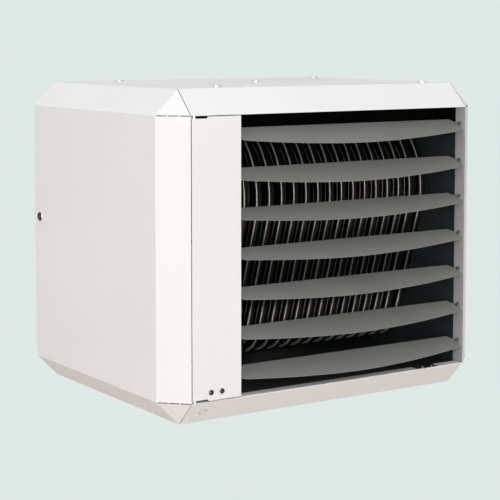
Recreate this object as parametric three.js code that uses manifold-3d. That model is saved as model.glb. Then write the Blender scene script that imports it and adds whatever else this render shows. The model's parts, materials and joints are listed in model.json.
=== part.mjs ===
// Suspended fan heater: a chamfered sheet-metal casing that hangs from the ceiling. A gas burner and its
// service door are on the left, a tubular heat exchanger lies in the air duct, an axial fan blows from
// behind and a bank of bowed louvres is in front.
// Millimetres. +Z is up, -Y is the air outlet, and the origin is the middle of the casing's top face.
import * as THREE from "three";
import { ConvexGeometry } from "three/addons/geometries/ConvexGeometry.js";
import { mergeVertices } from "three/addons/utils/BufferGeometryUtils.js";
import Module from "manifold-3d";

const wasm = await Module();
wasm.setup();

// ---------------------------------------------------------------- driving dimensions
const width = 700;
const depth = 518;
const height = 584;
const chamfer = 45; // 45 degree edges round the front, the top sides and the bottom sides
const sheet = 1.2; // thickness of the casing and duct sheets
const seam = 1.5; // open joint between two casing panels
const seat = 0.3; // gap between pieces that touch

const top = 0;
const bottom = top - height;
const front = -depth / 2;
const rear = depth / 2;
const left = -width / 2;
const right = width / 2;
const cornerX = right - chamfer; // where the side chamfers begin
const topEdge = top - chamfer; // upper and lower ends of the front face
const bottomEdge = bottom + chamfer;

const flangeWidth = 16; // folded strips that lie under the door's and the cover's chamfers
const rearFlange = 14; // folded rim of the rear panel
const lipDepth = 24; // folded lip above and below the outlet

const burnerWidth = 145; // burner compartment, from the casing's left side to the outlet
const outletLeft = left + burnerWidth; // the outlet's right side is at cornerX
const railDepth = 28;
const ductWall = cornerX + 3; // right wall of the duct, set back behind the rail
const floorHeight = chamfer - sheet - seat; // duct floor, lapped under the outlet's lower lip

const louvrePitch = 70;
const louvreTopDrop = 33; // first pivot below the outlet's upper lip
const louvreBottomRoom = 40; // least room between the last pivot and the lower lip
const louvreRun = topEdge - bottomEdge - louvreTopDrop - louvreBottomRoom;
const louvreCount = 1 + Math.floor(louvreRun / louvrePitch);
const pivotSetback = 17; // pivots behind the front face
const louvreTilt = 32.5; // degrees, front edge down
const bladeThickness = 1.2;
const bladeClearance = 1.5; // blade's end to the rail
const bladeRear = 17; // straight rear edge, measured from the pivot in the blade's plane
const bladeTip = 17; // front edge at the ends
const bladeBow = 29; // further reach of the bowed front edge at the middle
const bladeCorner = 13;
const bladeShoulder = 14; // straight part of the front edge at each end
const bladeStep = 4; // from a shoulder to the bow
const bladeSteps = 8; // chords of the bow
const pivotRadius = 2.5;
const pivotRise = 3.5; // pivot above the blade's plane

const tubePitch = 27.5;
const tubeRadius = 8;
const tubeSides = 5;
const tubeMargin = 23; // last tube to the outlet's right side
const firstTubeRoom = 19; // least room between the outlet's left side and the first tube
const lastTubeX = cornerX - tubeMargin;
const tubeCount = 1 + Math.floor((lastTubeX - outletLeft - firstTubeRoom) / tubePitch); // in the outer rank
const drumRadius = 85;
const drumWall = 2;
const drumSetback = 254; // drum's axis behind the front face
const drumDrop = 206; // and below the top
const drumY = front + drumSetback;
const drumZ = top - drumDrop;
const drumGap = 25; // from the drum to the inner rank
const rankGap = 16; // between the two ranks
const innerLoop = drumRadius + drumGap + tubeRadius;
const outerLoop = innerLoop + rankGap + 2 * tubeRadius;
const innerBend = 32;
const outerBend = innerBend + 28;
const rankLean = 18; // degrees that the straight legs lean back
const bendRise = 130;
const bendZ = bottom + bendRise; // centre height of the lower bends
const headerWall = 2;
const headerDepth = 65;
const headerHeight = 68;
const headerSetback = 15; // behind the drum's axis
const headerLap = 13; // past the first tube
const headerEnd = 11; // past the last tube
const collectorHeight = 65;
const collectorDepth = 80;
const collectorRise = 20; // above the centres of the lower bends

const fanX = (outletLeft + cornerX) / 2;
const fanZ = (top + bottom) / 2;
const fanBore = 203; // inside radius of the fan's inlet ring
const fanTip = 199;
const ringSheet = 1.5;
const ringHole = fanBore + ringSheet + 2.5; // hole in the rear panel for the ring
const ringSides = 28;
const hubRadius = 62;
const bladeCount = 5;
const spindleRadius = 8;
const guardRise = 38; // guard's plane behind the rear panel
const wireRadius = 1.6;

const hingeIn = 7; // door's hinge axis, right of the seam and behind the front face
const hingeBack = 3;
const hingePinRadius = 1.5;
const slotLength = 32; // slots in the front panel that the hinge straps swing through
const slotHeight = 3.2;
const strapThickness = 1.4;
const eyeRadius = 2.9; // round the hinge pin at the strap's end
const lockY = rear - 23;
const lockZ = bottom + 323;

const spigotIn = 88; // flue, air inlet, above one another at the back of the burner compartment
const spigotX = left + spigotIn;
const flueRise = 182;
const flueZ = bottom + flueRise;
const intakeDrop = 114;
const intakeZ = top - intakeDrop;
const spigotRadius = 40;
const spigotLength = 50;
const spigotFlange = 12;
const flueRadius = 38;
const flueWall = 1.5;

const gasIn = 80;
const gasX = left + gasIn;
const gasRadius = 10;
const unionRadius = 19; // corners of the gas pipe's hexagon
const gasZ = flueZ + spigotRadius + spigotFlange + unionRadius + seam; // clear of the flue's flange
const glandIn = 28;
const glandX = left + glandIn;
const glandPitch = 30;
const glandZ = [bottom + 100, bottom + 100 + glandPitch];
const glandRadius = 6;

// ---------------------------------------------------------------- solids
/** A three.js geometry as a solid that can be joined and cut, whichever way its profile ran. */
function solid(geometry) {
  geometry.deleteAttribute("normal");
  geometry.deleteAttribute("uv");
  const merged = mergeVertices(geometry, 1e-4);
  const corners = new Uint32Array(merged.index.array);
  const make = () =>
    new wasm.Manifold(
      new wasm.Mesh({ numProp: 3, vertProperties: merged.attributes.position.array, triVerts: corners }),
    );
  const made = make();
  if (made.volume() >= 0) return made;
  for (let i = 0; i < corners.length; i += 3) {
    [corners[i + 1], corners[i + 2]] = [corners[i + 2], corners[i + 1]];
  }
  return make();
}

function geometryOf(made) {
  const { vertProperties, triVerts } = made.getMesh();
  const geometry = new THREE.BufferGeometry();
  geometry.setAttribute("position", new THREE.BufferAttribute(vertProperties, 3));
  geometry.setIndex(new THREE.BufferAttribute(triVerts, 1));
  geometry.computeVertexNormals();
  return geometry;
}

const join = (...pieces) => pieces.reduce((sum, piece) => sum.add(piece));
const cut = (piece, ...tools) => tools.reduce((rest, tool) => rest.subtract(tool), piece);

/** A block between pairs of x, y and z. */
function block([x0, x1], [y0, y1], [z0, z1]) {
  const geometry = new THREE.BoxGeometry(x1 - x0, y1 - y0, z1 - z0);
  return solid(geometry.translate((x0 + x1) / 2, (y0 + y1) / 2, (z0 + z1) / 2));
}

// Each axis turns a drawing's (right, up, out) into the part's axes: (y, z, x), (x, z, -y) and (x, y, z).
const turns = {
  x: new THREE.Matrix4().makeBasis(
    new THREE.Vector3(0, 1, 0),
    new THREE.Vector3(0, 0, 1),
    new THREE.Vector3(1, 0, 0),
  ),
  y: new THREE.Matrix4().makeBasis(
    new THREE.Vector3(1, 0, 0),
    new THREE.Vector3(0, 0, 1),
    new THREE.Vector3(0, -1, 0),
  ),
  z: new THREE.Matrix4(),
};

const polygon = (points) => new THREE.Shape(points.map(([a, b]) => new THREE.Vector2(a, b)));

/** A flat outline, given as points or a Shape, extruded along an axis from one coordinate to another. */
function prism(outline, axis, from, to) {
  const shape = Array.isArray(outline) ? polygon(outline) : outline;
  const geometry = new THREE.ExtrudeGeometry(shape, { depth: to - from, bevelEnabled: false });
  geometry.translate(0, 0, axis === "y" ? -to : from);
  return solid(geometry.applyMatrix4(turns[axis]));
}

/** A round bar along an axis, between two coordinates, round the point (a, b) of the plane across it. */
function rod(axis, [a, b], radius, from, to, sides = 24) {
  return revolve([[0, from], [radius, from], [radius, to], [0, to]], axis, [a, b], sides);
}

/** A profile of (radius, place along the axis) turned about an axis through (a, b) of the plane across. */
function revolve(profile, axis, [a, b], sides = 24) {
  const points = profile.map(([radius, along]) => new THREE.Vector2(radius, along));
  if (profile[0][0] > 0) points.push(points[0].clone());
  const geometry = new THREE.LatheGeometry(points, sides);
  if (axis === "x") geometry.rotateZ(-Math.PI / 2).translate(0, a, b);
  if (axis === "y") geometry.translate(a, 0, b);
  if (axis === "z") geometry.rotateX(Math.PI / 2).translate(a, b, 0);
  return solid(geometry);
}

/** A regular polygon, with a hole if an inner radius is given. */
function ring(radius, sides, inner = 0) {
  const circle = (r) =>
    Array.from({ length: sides }, (_, i) => {
      const angle = (2 * Math.PI * i) / sides;
      return new THREE.Vector2(r * Math.cos(angle), r * Math.sin(angle));
    });
  const shape = new THREE.Shape(circle(radius));
  if (inner > 0) shape.holes.push(new THREE.Path(circle(inner).reverse()));
  return shape;
}

/** A path through chosen points whose equal steps land on those points, so that a bend keeps its steps. */
class BentLine extends THREE.Curve {
  constructor(points) {
    super();
    this.points = points;
  }
  getPointAt(share, target = new THREE.Vector3()) {
    return target.copy(this.points[Math.round(share * (this.points.length - 1))]);
  }
  getTangentAt(share, target = new THREE.Vector3()) {
    const i = Math.round(share * (this.points.length - 1));
    const before = this.points[Math.max(i - 1, 0)];
    const after = this.points[Math.min(i + 1, this.points.length - 1)];
    return target.copy(after).sub(before).normalize();
  }
}

/** A section swept along a list of points. */
function sweep(points, section) {
  const path = new BentLine(points);
  return solid(new THREE.ExtrudeGeometry(section, { steps: points.length - 1, extrudePath: path }));
}

/** Points of an arc in a plane: centre (a, b), radius, from one angle to another in degrees. */
function arc([a, b], radius, from, to, steps) {
  return Array.from({ length: steps + 1 }, (_, i) => {
    const angle = THREE.MathUtils.degToRad(from + ((to - from) * i) / steps);
    return [a + radius * Math.cos(angle), b + radius * Math.sin(angle)];
  });
}

// ---------------------------------------------------------------- scene
const heater = new THREE.Group();

function paint(color, roughness, metalness) {
  return new THREE.MeshStandardMaterial({ color, roughness, metalness });
}

const white = paint(0xeeecea, 0.5, 0);
const louvreGrey = paint(0x6b6b69, 0.55, 0.1);
const railGrey = paint(0x8c8c88, 0.6, 0.1);
const ductSteel = paint(0x30363a, 0.5, 0.6);
const stainless = paint(0x5a5652, 0.3, 0.9);
const zinc = paint(0xb9bcc0, 0.4, 0.8);
const castAluminium = paint(0xa9abac, 0.5, 0.7);
const blackPlastic = paint(0x1b1b1c, 0.5, 0);
const greyPlastic = paint(0x8f9295, 0.6, 0);
const brass = paint(0xb89a52, 0.35, 0.9);
const ceramic = paint(0xe9e4da, 0.4, 0);

function add(name, made, material, parent = heater) {
  const mesh = new THREE.Mesh(geometryOf(made), material);
  mesh.name = name;
  parent.add(mesh);
  return mesh;
}

// ---------------------------------------------------------------- casing
/** The casing's outer form, moved in by inset: chamfered edges, with a triangle at each front corner. */
function casingForm(inset, back) {
  const edge = chamfer - inset * (2 - Math.SQRT2);
  const side = width / 2 - inset;
  const face = front + inset;
  const [high, low] = [top - inset, bottom + inset];
  const points = [];
  for (const hand of [-1, 1]) {
    const outline = [[side, high - edge], [side - edge, high], [side - edge, low], [side, low + edge]];
    for (const [x, z] of outline) {
      points.push(new THREE.Vector3(hand * x, back, z), new THREE.Vector3(hand * x, face + edge, z));
    }
    for (const z of [high - edge, low + edge]) {
      points.push(new THREE.Vector3(hand * (side - edge), face, z));
    }
  }
  return solid(new ConvexGeometry(points));
}

/** The casing's skin at a depth, open at the back. */
const skin = (inset, back = rear) => casingForm(inset, back).subtract(casingForm(inset + sheet, back + 1));
const underSkin = sheet + seat; // depth of the strips that lie under another panel
const underStrips = 2 * underSkin; // depth that is clear of those strips

/** Two coordinates as a [low, high] pair. */
const between = (a, b) => [Math.min(a, b), Math.max(a, b)];

const stripInside = 14; // how far the joggled strip reaches in under its own panel
const stripJoggle = 6;
const stripStart = chamfer + 8; // strip's front end, behind the front face

/** Top (up = 1) or bottom (up = -1) panel: sheet, front chamfer, outlet lip, joggled strips at the sides. */
function capPanel(up) {
  const span = [-cornerX + seam / 2, cornerX - seam / 2];
  const face = up > 0 ? top : bottom;
  const edge = face - up * chamfer;
  const pieces = [
    skin(0).intersect(block(span, [front - 1, rear], between(edge, face + up))),
    block(span, [front, front + lipDepth], between(edge, edge + up * sheet)),
  ];
  const run = [front + stripStart, rear - rearFlange - seat];
  const inner = cornerX - stripInside;
  const outer = cornerX + flangeWidth / Math.SQRT2;
  const under = between(face - up * flangeWidth, face);
  const weld = between(face - (up * sheet) / 2, face - up * (underSkin + sheet / 2));
  for (const hand of [-1, 1]) {
    pieces.push(
      skin(underSkin).intersect(block(between(hand * inner, hand * outer), run, under)),
      block(between(hand * inner, hand * (cornerX - stripJoggle)), run, weld),
    );
  }
  return join(...pieces);
}

const nutIn = [10, 30]; // nuts' distance from the outlet's two sides
const nutSetback = 94;
const nutFromRear = 64;
const suspension = [front + nutSetback, rear - nutFromRear].flatMap((y) => [
  [outletLeft + nutIn[0], y],
  [cornerX - nutIn[1], y],
]);
const centreNut = [fanX - 35, (front + rear) / 2 + 27];
const nutBody = 5.5;
const nutFlange = 9;
const nutFlangeHeight = 2.5;
const nutLength = 17;
const nutSides = 8;
const threadRadius = 3.6;

function topPanel() {
  const through = [top - 2 * sheet, top + 1];
  const nutHole = (at) => rod("z", at, nutBody + 3 * seat, ...through, nutSides);
  const holes = [...suspension, centreNut].map(nutHole);
  return cut(capPanel(1), ...holes, hingePinHole(topEdge - 1, topEdge + 1));
}

/** A blind rivet nut: thin flange on the sheet, threaded body below it. */
function rivetNut(at) {
  return revolve(
    [
      [threadRadius, top - nutLength],
      [nutBody, top - nutLength],
      [nutBody, top + seat],
      [nutFlange, top + seat],
      [nutFlange, top + nutFlangeHeight],
      [threadRadius, top + nutFlangeHeight],
    ],
    "z",
    at,
    nutSides,
  );
}

const lipScrewSetback = 10;
const lipScrewY = front + lipScrewSetback;
const notchWidth = 54;
const notchIn = 55; // from the outlet's right side
const notchSetback = 3.5;
const notchX = [cornerX - notchIn - notchWidth, cornerX - notchIn];
const lipScrews = [notchX[0] + 17.5, notchX[1] - 14.5];
const knockOutIn = 80;
const knockOutRadius = 7.5;
const knockOutGroove = 0.9;

function bottomPanel() {
  const notchDepth = [front + notchSetback, front + lipDepth + 1];
  const cutOut = block(notchX, notchDepth, [bottomEdge - 2 * sheet, bottomEdge + 1]);
  const circle = ring(knockOutRadius, 16, knockOutRadius - knockOutGroove);
  const groove = new THREE.ExtrudeGeometry(circle, { depth: sheet, bevelEnabled: false });
  const middle = chamfer / 2 - sheet / 2 / Math.SQRT2; // half of the groove's depth lies outside the sheet
  groove.rotateX((3 * Math.PI) / 4).translate(left + knockOutIn, front + middle, bottom + middle);
  return cut(capPanel(-1), cutOut, solid(groove), hingePinHole(bottomEdge - 1, bottomEdge + 1));
}

const hingePinHole = (from, to) =>
  rod("z", [-cornerX + hingeIn, front + hingeBack], hingePinRadius + seat, from, to, 10);

const panelScrewIn = 83;
const panelScrewPitch = 22;
const panelScrewRise = 61;
const panelScrews = [left + panelScrewIn, left + panelScrewIn + panelScrewPitch];
const panelScrewZ = bottom + panelScrewRise;
const screwRadius = 2.5;
const screwHead = 4.6;
const headSides = 10;
const slotWidth = 1.2; // screwdriver slot

function frontPanel() {
  const reach = [-cornerX + seam / 2, outletLeft];
  const panel = block(reach, [front, front + sheet], [bottomEdge + seam, topEdge - seam]);
  const slots = [
    [topEdge - seam - slotHeight, topEdge],
    [bottomEdge, bottomEdge + seam + slotHeight],
  ].map((span) => block([-cornerX, -cornerX + slotLength], [front - 1, front + 2 * sheet], span));
  const through = [front - 1, front + 2 * sheet];
  const screwHole = (x) => rod("y", [x, panelScrewZ], screwRadius + seat, ...through, headSides);
  const holes = panelScrews.map(screwHole);
  return cut(panel, ...slots, ...holes);
}

/** A slotted pan head screw in a face across y or z: out is the direction that its head stands out. */
function panScrew(axis, at, face, out, rise, length) {
  const [a, b] = at;
  const profile = [
    [0, face - out * length],
    [screwRadius, face - out * length],
    [screwRadius, face + out * seat],
    [screwHead, face + out * seat],
    [screwHead * 0.8, face + out * rise],
    [0, face + out * rise],
  ];
  const deep = between(face + out * rise * 0.55, face + out * (rise + 1));
  const wide = slotWidth / 2;
  const groove =
    axis === "y"
      ? block([a - wide, a + wide], deep, [b - screwHead, b + screwHead])
      : block([a - screwHead, a + screwHead], [b - wide, b + wide], deep);
  return revolve(profile, axis, at, headSides).subtract(groove);
}

/** Side face, chamfers and corner triangles: the fixed cover on the right, and the door on the left. */
function sideShell(hand) {
  const span = hand > 0 ? [cornerX + seam / 2, right + 1] : [left - 1, -cornerX - seam / 2];
  return skin(0).intersect(block(span, [front - 1, rear], [bottom - 1, top + 1]));
}

const foldSlit = { count: 3, bridge: 2.5, height: 0.9 };

/** Rows of slits along the fold lines of the corner triangles. */
function foldSlits(hand) {
  const step = (chamfer * Math.SQRT2 - foldSlit.bridge) / foldSlit.count;
  const slits = [];
  for (const z of [topEdge, bottomEdge]) {
    for (let i = 0; i < foldSlit.count; i += 1) {
      const geometry = new THREE.BoxGeometry(step - foldSlit.bridge, 4 * sheet, foldSlit.height);
      geometry.translate(foldSlit.bridge / 2 + (i + 0.5) * step, 0, 0);
      geometry.rotateZ(hand > 0 ? Math.PI / 4 : (3 * Math.PI) / 4);
      geometry.translate(hand * cornerX, front, z);
      slits.push(solid(geometry));
    }
  }
  return slits;
}

const strapRoot = [4, 16]; // the hinge strap's root along the door's chamfer

/** Hinge strap: a flat tongue from the door's front chamfer to the eye round the pin. */
function hingeStrap(z) {
  const [x, y] = [-cornerX, front];
  const weld = sheet / 2 / Math.SQRT2; // middle of the chamfer's sheet
  const [near, far] = strapRoot;
  const arm = [
    [x - near + weld, y + near + weld],
    [x + hingeIn, y + hingeBack - eyeRadius],
    [x + hingeIn, y + hingeBack + eyeRadius],
    [x - far + weld, y + far + weld],
  ];
  const span = [z - strapThickness / 2, z + strapThickness / 2];
  const eye = rod("z", [x + hingeIn, y + hingeBack], eyeRadius, ...span, 12);
  return cut(prism(arm, "z", ...span).add(eye), hingePinHole(z - 2, z + 2));
}

const strapLevels = [topEdge - seam - slotHeight / 2, bottomEdge + seam + slotHeight / 2];
const lockHole = 6.6; // bore in the door and in the lock's nut

function door() {
  const straps = strapLevels.map(hingeStrap);
  const bore = rod("x", [lockY, lockZ], lockHole, left - 1, left + 2 * sheet, 12);
  return cut(join(sideShell(-1), ...straps), bore, ...foldSlits(-1));
}

const bracketSheet = 1.6;
const bracketIn = 5; // left and right of the hinge axis
const bracketOut = 18;
const bracketShelf = 11;
const bracketLeg = 14;
const hingePinRise = 0.6; // how far a hinge pin stands into its panel's lip
const hingePinTail = 4; // and out of its bracket

/** Bracket behind the front panel for the far end of a hinge pin: a leg on the panel and a drilled shelf. */
function hingeBracket(up) {
  const edge = up > 0 ? topEdge : bottomEdge;
  const near = edge - up * (seam + slotHeight + seat);
  const end = near - up * bracketLeg;
  const xs = [-cornerX + hingeIn - bracketIn, -cornerX + hingeIn + bracketOut];
  const back = front + sheet + seat;
  const shelf = block(xs, [back, back + bracketShelf], between(near, near - up * bracketSheet));
  const leg = block(xs, [back, back + bracketSheet], between(near, end));
  return cut(shelf.add(leg), hingePinHole(...between(edge, end - up)));
}

function hingePin(up) {
  const edge = up > 0 ? topEdge : bottomEdge;
  const below = seam + slotHeight + bracketSheet + hingePinTail;
  const ends = between(edge + up * hingePinRise, edge - up * below);
  return rod("z", [-cornerX + hingeIn, front + hingeBack], hingePinRadius, ...ends, 10);
}

function rearPanel() {
  const pan = casingForm(underSkin, rear)
    .intersect(block([left, right], [rear - rearFlange, rear], [bottom, top]))
    .subtract(casingForm(underSkin + sheet, rear - sheet));
  const drill = (x, z, radius, sides = 16) => rod("y", [x, z], radius, rear - 2 * sheet, rear + 1, sides);
  return cut(
    pan,
    drill(fanX, fanZ, ringHole, ringSides),
    drill(spigotX, flueZ, flueRadius - 2),
    drill(spigotX, intakeZ, flueRadius - 2),
    drill(gasX, gasZ, gasRadius + 1),
    ...glandZ.map((z) => drill(glandX, z, glandRadius + 2 * seat, 8)),
  );
}

// ---------------------------------------------------------------- air duct
const dividerX = [outletLeft - underStrips, outletLeft - underStrips + sheet];
const ductBack = rear - rearFlange - seat;
const behindRail = front + railDepth + sheet + seat;

/** Wall between the burner compartment and the duct, with the burner's port and the flue's hole. */
function divider() {
  const wall = block(dividerX, [behindRail, ductBack], [bottom, top]);
  const through = [dividerX[0] - 1, dividerX[1] + 1];
  return cut(
    wall.intersect(casingForm(underSkin, rear)),
    rod("x", [drumY, drumZ], drumRadius - drumLip, ...through, drumSides),
    rod("x", [flueY, flueZ], flueRadius + 2 * seat, ...through, 20),
  );
}

/** The duct's right wall, with a fold at the back that the rear panel is screwed to. */
function ductSide() {
  const wall = block([ductWall, ductWall + sheet], [behindRail, ductBack], [bottom, top]);
  const fold = block([ductWall, ductWall + rearFlange], [ductBack - sheet, ductBack], [bottomEdge, topEdge]);
  return wall.add(fold).intersect(casingForm(underStrips, rear));
}

const floorUpstand = 22;
const floorLap = 5; // floor's front edge behind the front face

/** Duct floor: its front edge lies under the lip and its back edge is folded up against the rear panel. */
function ductFloor() {
  const level = bottom + floorHeight;
  const xs = [dividerX[1] + seat, ductWall - seat];
  const thick = [level - sheet, level];
  const flat = block(xs, [front + floorLap, ductBack], thick);
  const upstand = block(xs, [ductBack - sheet, ductBack], [level - sheet, level + floorUpstand]);
  const through = between(level - 2 * sheet, level + 1);
  const screwHole = (x) => rod("z", [x, lipScrewY], screwRadius + seat, ...through, headSides);
  const screwHoles = lipScrews.map(screwHole);
  const besideRail = [front, behindRail];
  const railCorner = block([xs[0] - 1, outletLeft + seat], besideRail, through);
  const coverCorner = block([cornerX - seat, ductWall], besideRail, through);
  const fanRoom = rod("y", [fanX, fanZ], ringHole, ductBack - 2 * sheet, rear, ringSides);
  return cut(flat.add(upstand), ...screwHoles, railCorner, coverCorner, fanRoom);
}

const shieldZ = top - nutLength - 5;
const shieldSetback = 60;
const shieldFromBack = 20;

/** Heat shield over the exchanger: a pan hung between the duct's two walls. */
function heatShield() {
  const [from, to] = [dividerX[1] + seat, ductWall - seat];
  const ys = [front + shieldSetback, ductBack - shieldFromBack];
  const zs = [shieldZ - sheet, top];
  const pan = block([from, to], ys, [shieldZ - sheet, shieldZ]);
  const sides = [block([from, from + sheet], ys, zs), block([to - sheet, to], ys, zs)];
  return join(pan, ...sides).intersect(casingForm(underStrips, rear));
}

// ---------------------------------------------------------------- louvres
const pivotY = front + pivotSetback;
const louvreZ = (i) => topEdge - louvreTopDrop - i * louvrePitch;
const railFold = 14;
const railSetback = 4; // web's front edge behind the front face
const pinSides = 8;

/** Rail at one side of the outlet: web with a hole for each pivot, and a fold behind it. */
function louvreRail(hand) {
  const face = hand > 0 ? cornerX + seat : outletLeft - seat;
  const web = between(face, face + hand * sheet);
  const zs = [bottomEdge + seat, topEdge - seat];
  const back = front + railDepth;
  const fold = block(between(face, face + hand * railFold), [back, back + sheet], zs);
  const holes = Array.from({ length: louvreCount }, (_, i) =>
    rod("x", [pivotY, louvreZ(i)], pivotRadius + 2 * seat, web[0] - 1, web[1] + 1, pinSides),
  );
  return cut(block(web, [front + railSetback, back], zs).add(fold), ...holes);
}

/** Louvre about its pivot: a bowed blade in the local x-y plane, an ear turned up at each end, two pins. */
function louvre() {
  const half = (cornerX - outletLeft) / 2 - bladeClearance;
  const bowHalf = half - bladeShoulder;
  const rise = bladeBow - bladeStep;
  const radius = (bowHalf * bowHalf + rise * rise) / (2 * rise);
  const spread = THREE.MathUtils.radToDeg(Math.asin(bowHalf / radius));
  const bow = arc([0, radius - bladeTip - bladeBow], radius, 270 - spread, 270 + spread, bladeSteps);
  const outline = [
    [-half, -bladeTip],
    ...bow,
    [half, -bladeTip],
    [half, bladeRear - bladeCorner],
    [half - bladeCorner, bladeRear],
    [bladeCorner - half, bladeRear],
    [-half, bladeRear - bladeCorner],
  ];
  const under = -pivotRise - bladeThickness;
  const ear = [[-9, under], [-6, 2], [-3, 4], [3, 4], [4, 2], [4, under]];
  const pieces = [prism(outline, "z", under, -pivotRise)];
  for (const hand of [-1, 1]) {
    const inside = hand * (half - bladeThickness);
    const pinEnd = hand * (half + bladeClearance + seat + sheet + 1.5);
    pieces.push(
      prism(ear, "x", ...between(inside, hand * half)),
      rod("x", [0, 0], pivotRadius, ...between(inside, pinEnd), pinSides),
    );
  }
  return join(...pieces);
}

// ---------------------------------------------------------------- heat exchanger
const headerX = [lastTubeX - tubePitch * (tubeCount - 1) - headerLap, lastTubeX + headerEnd];
const headerY = [drumY + headerSetback, drumY + headerSetback + headerDepth];
const headerRim = 10; // header's wall beyond the tubes
const headerBase = drumZ + innerLoop - tubeRadius - headerRim;
const headerZ = [headerBase, headerBase + headerHeight];
const collectorY = [drumY - 3, drumY - 3 + collectorDepth];
const collectorZ = [bendZ + collectorRise, bendZ + collectorRise + collectorHeight];
const flueY = (collectorY[0] + collectorY[1]) / 2;
const neckIn = 22; // flue neck from the last tube
const neckWidth = 60;
const neckDepth = 40;
const neckX = [lastTubeX - neckIn - neckWidth, lastTubeX - neckIn];
const neckY = [headerY[0] + headerRim, headerY[0] + headerRim + neckDepth];
const bowSteps = 5;
const hookSteps = 4;

/** One tube: from the header round the drum, down a leaning leg, round a lower bend, up to the collector. */
function tube(x, loop, bend, start, end) {
  const lean = THREE.MathUtils.degToRad(rankLean);
  const bow = arc([drumY, drumZ], loop, 90, 180 + rankLean, bowSteps);
  const [legY, legZ] = bow[bow.length - 1];
  const leg = (legZ + bend * Math.sin(lean) - bendZ) / Math.cos(lean);
  const centre = [legY + leg * Math.sin(lean) + bend * Math.cos(lean), bendZ];
  const hook = arc(centre, bend, 180 + rankLean, 360, hookSteps);
  const outline = [[start, drumZ + loop], ...bow, ...hook, [centre[0] + bend, end]];
  return sweep(outline.map(([y, z]) => new THREE.Vector3(x, y, z)), ring(tubeRadius, tubeSides));
}

const outerTubes = Array.from({ length: tubeCount }, (_, i) => lastTubeX - i * tubePitch);
const innerTubes = outerTubes.slice(1).map((x) => x + tubePitch / 2);
const tubeEnd = 1; // how far a tube is let into the box that it is welded to
const flueLap = 8; // collector's wall inside the flue pipe's end

/** A thin-walled box between pairs of x, y and z. */
function boxShell(...sides) {
  const inner = sides.map(([low, high]) => [low + headerWall, high - headerWall]);
  return block(...sides).subtract(block(...inner));
}

/** Upper header with the outer rank welded to its front. */
function outerBank() {
  const port = block(neckX, neckY, [headerZ[0] - 1, headerZ[0] + headerWall + 1]);
  const shell = boxShell(headerX, headerY, headerZ).subtract(port);
  const ends = [headerY[0] + tubeEnd, collectorZ[0] - seat];
  const tubes = outerTubes.map((x) => tube(x, outerLoop, outerBend, ...ends));
  return join(shell, ...tubes);
}

/** Lower collector with the inner rank welded to its underside. */
function innerBank() {
  const through = [headerX[0] - 1, headerX[0] + headerWall + 1];
  const port = rod("x", [flueY, flueZ], flueRadius - flueLap, ...through, 16);
  const shell = boxShell(headerX, collectorY, collectorZ).subtract(port);
  const ends = [headerY[0] - seat, collectorZ[0] + tubeEnd];
  const tubes = innerTubes.map((x) => tube(x, innerLoop, innerBend, ...ends));
  return join(shell, ...tubes);
}

const drumFlange = 9;
const drumFlangeThickness = 3;
const drumLip = 12; // inward rim at the burner's end
const drumEndRoom = 20; // drum's end before the last tube
const drumDish = 28;
const neckRoot = 30; // neck's lower end above the drum's axis
const drumSides = 18;

/** Combustion drum: a thin shell, open at the burner's end and dished at the other, with a neck on top. */
function drum() {
  const from = dividerX[1] + seat;
  const rim = from + drumFlangeThickness;
  const to = lastTubeX - drumEndRoom;
  const inner = drumRadius - drumWall;
  const dish = (radius, end) => [
    [radius, end - drumDish],
    [radius * 0.8, end - drumDish * 0.35],
    [radius * 0.45, end - drumDish * 0.07],
    [0, end],
  ];
  const profile = [
    [drumRadius + drumFlange, from],
    [drumRadius + drumFlange, rim],
    [drumRadius, rim],
    ...dish(drumRadius, to),
    ...dish(inner, to - drumWall).reverse(),
    [inner, rim],
    [drumRadius - drumLip, rim],
    [drumRadius - drumLip, from],
  ];
  const shell = revolve(profile, "x", [drumY, drumZ], drumSides);
  const inside = rod("x", [drumY, drumZ], inner, rim + 1, to - drumDish - drumWall, drumSides);
  const outside = ([low, high]) => [low - drumWall, high + drumWall];
  const neck = block(outside(neckX), outside(neckY), [drumZ + neckRoot, headerZ[0] - seat]);
  const passage = block(neckX, neckY, [drumZ + neckRoot - 10, headerZ[0] + 1]);
  return cut(shell.add(neck.subtract(inside)), passage);
}

// ---------------------------------------------------------------- burner compartment
const burnerPlate = 6;
const burnerRim = 15; // burner flange beyond the drum
const mixturePort = 22;
const flangeX = [dividerX[0] - seat - burnerPlate, dividerX[0] - seat];
const elbowX = flangeX[0] - seat;
const blowerIn = 60; // blower housing from the door
const blowerWidth = 56;
const blowerX = [left + blowerIn, left + blowerIn + blowerWidth];
const scrollRadius = 60; // blower housing's radius at its outlet
const blowerY = drumY + 133;
const elbowHalf = 26;
const blowerZ = drumZ - elbowHalf + scrollRadius; // the scroll's outlet is level with the elbow
const outletY = drumY + 63;
const electrodeY = drumY - 42;
const electrodeZ = drumZ + 38;
const electrodeRadius = 3;

function burnerFlange() {
  const through = [flangeX[0] - 1, flangeX[1] + 1];
  const plate = rod("x", [drumY, drumZ], drumRadius + burnerRim, ...flangeX, drumSides);
  const port = rod("x", [drumY, drumZ], mixturePort, ...through, 14);
  return cut(plate, port, rod("x", [electrodeY, electrodeZ], electrodeRadius + 2 * seat, ...through, 8));
}

const burnerRadius = 34;
const burnerLength = 170;
const burnerSheet = 2;
const burnerFoot = 48;
const burnerMouth = 26;

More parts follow.
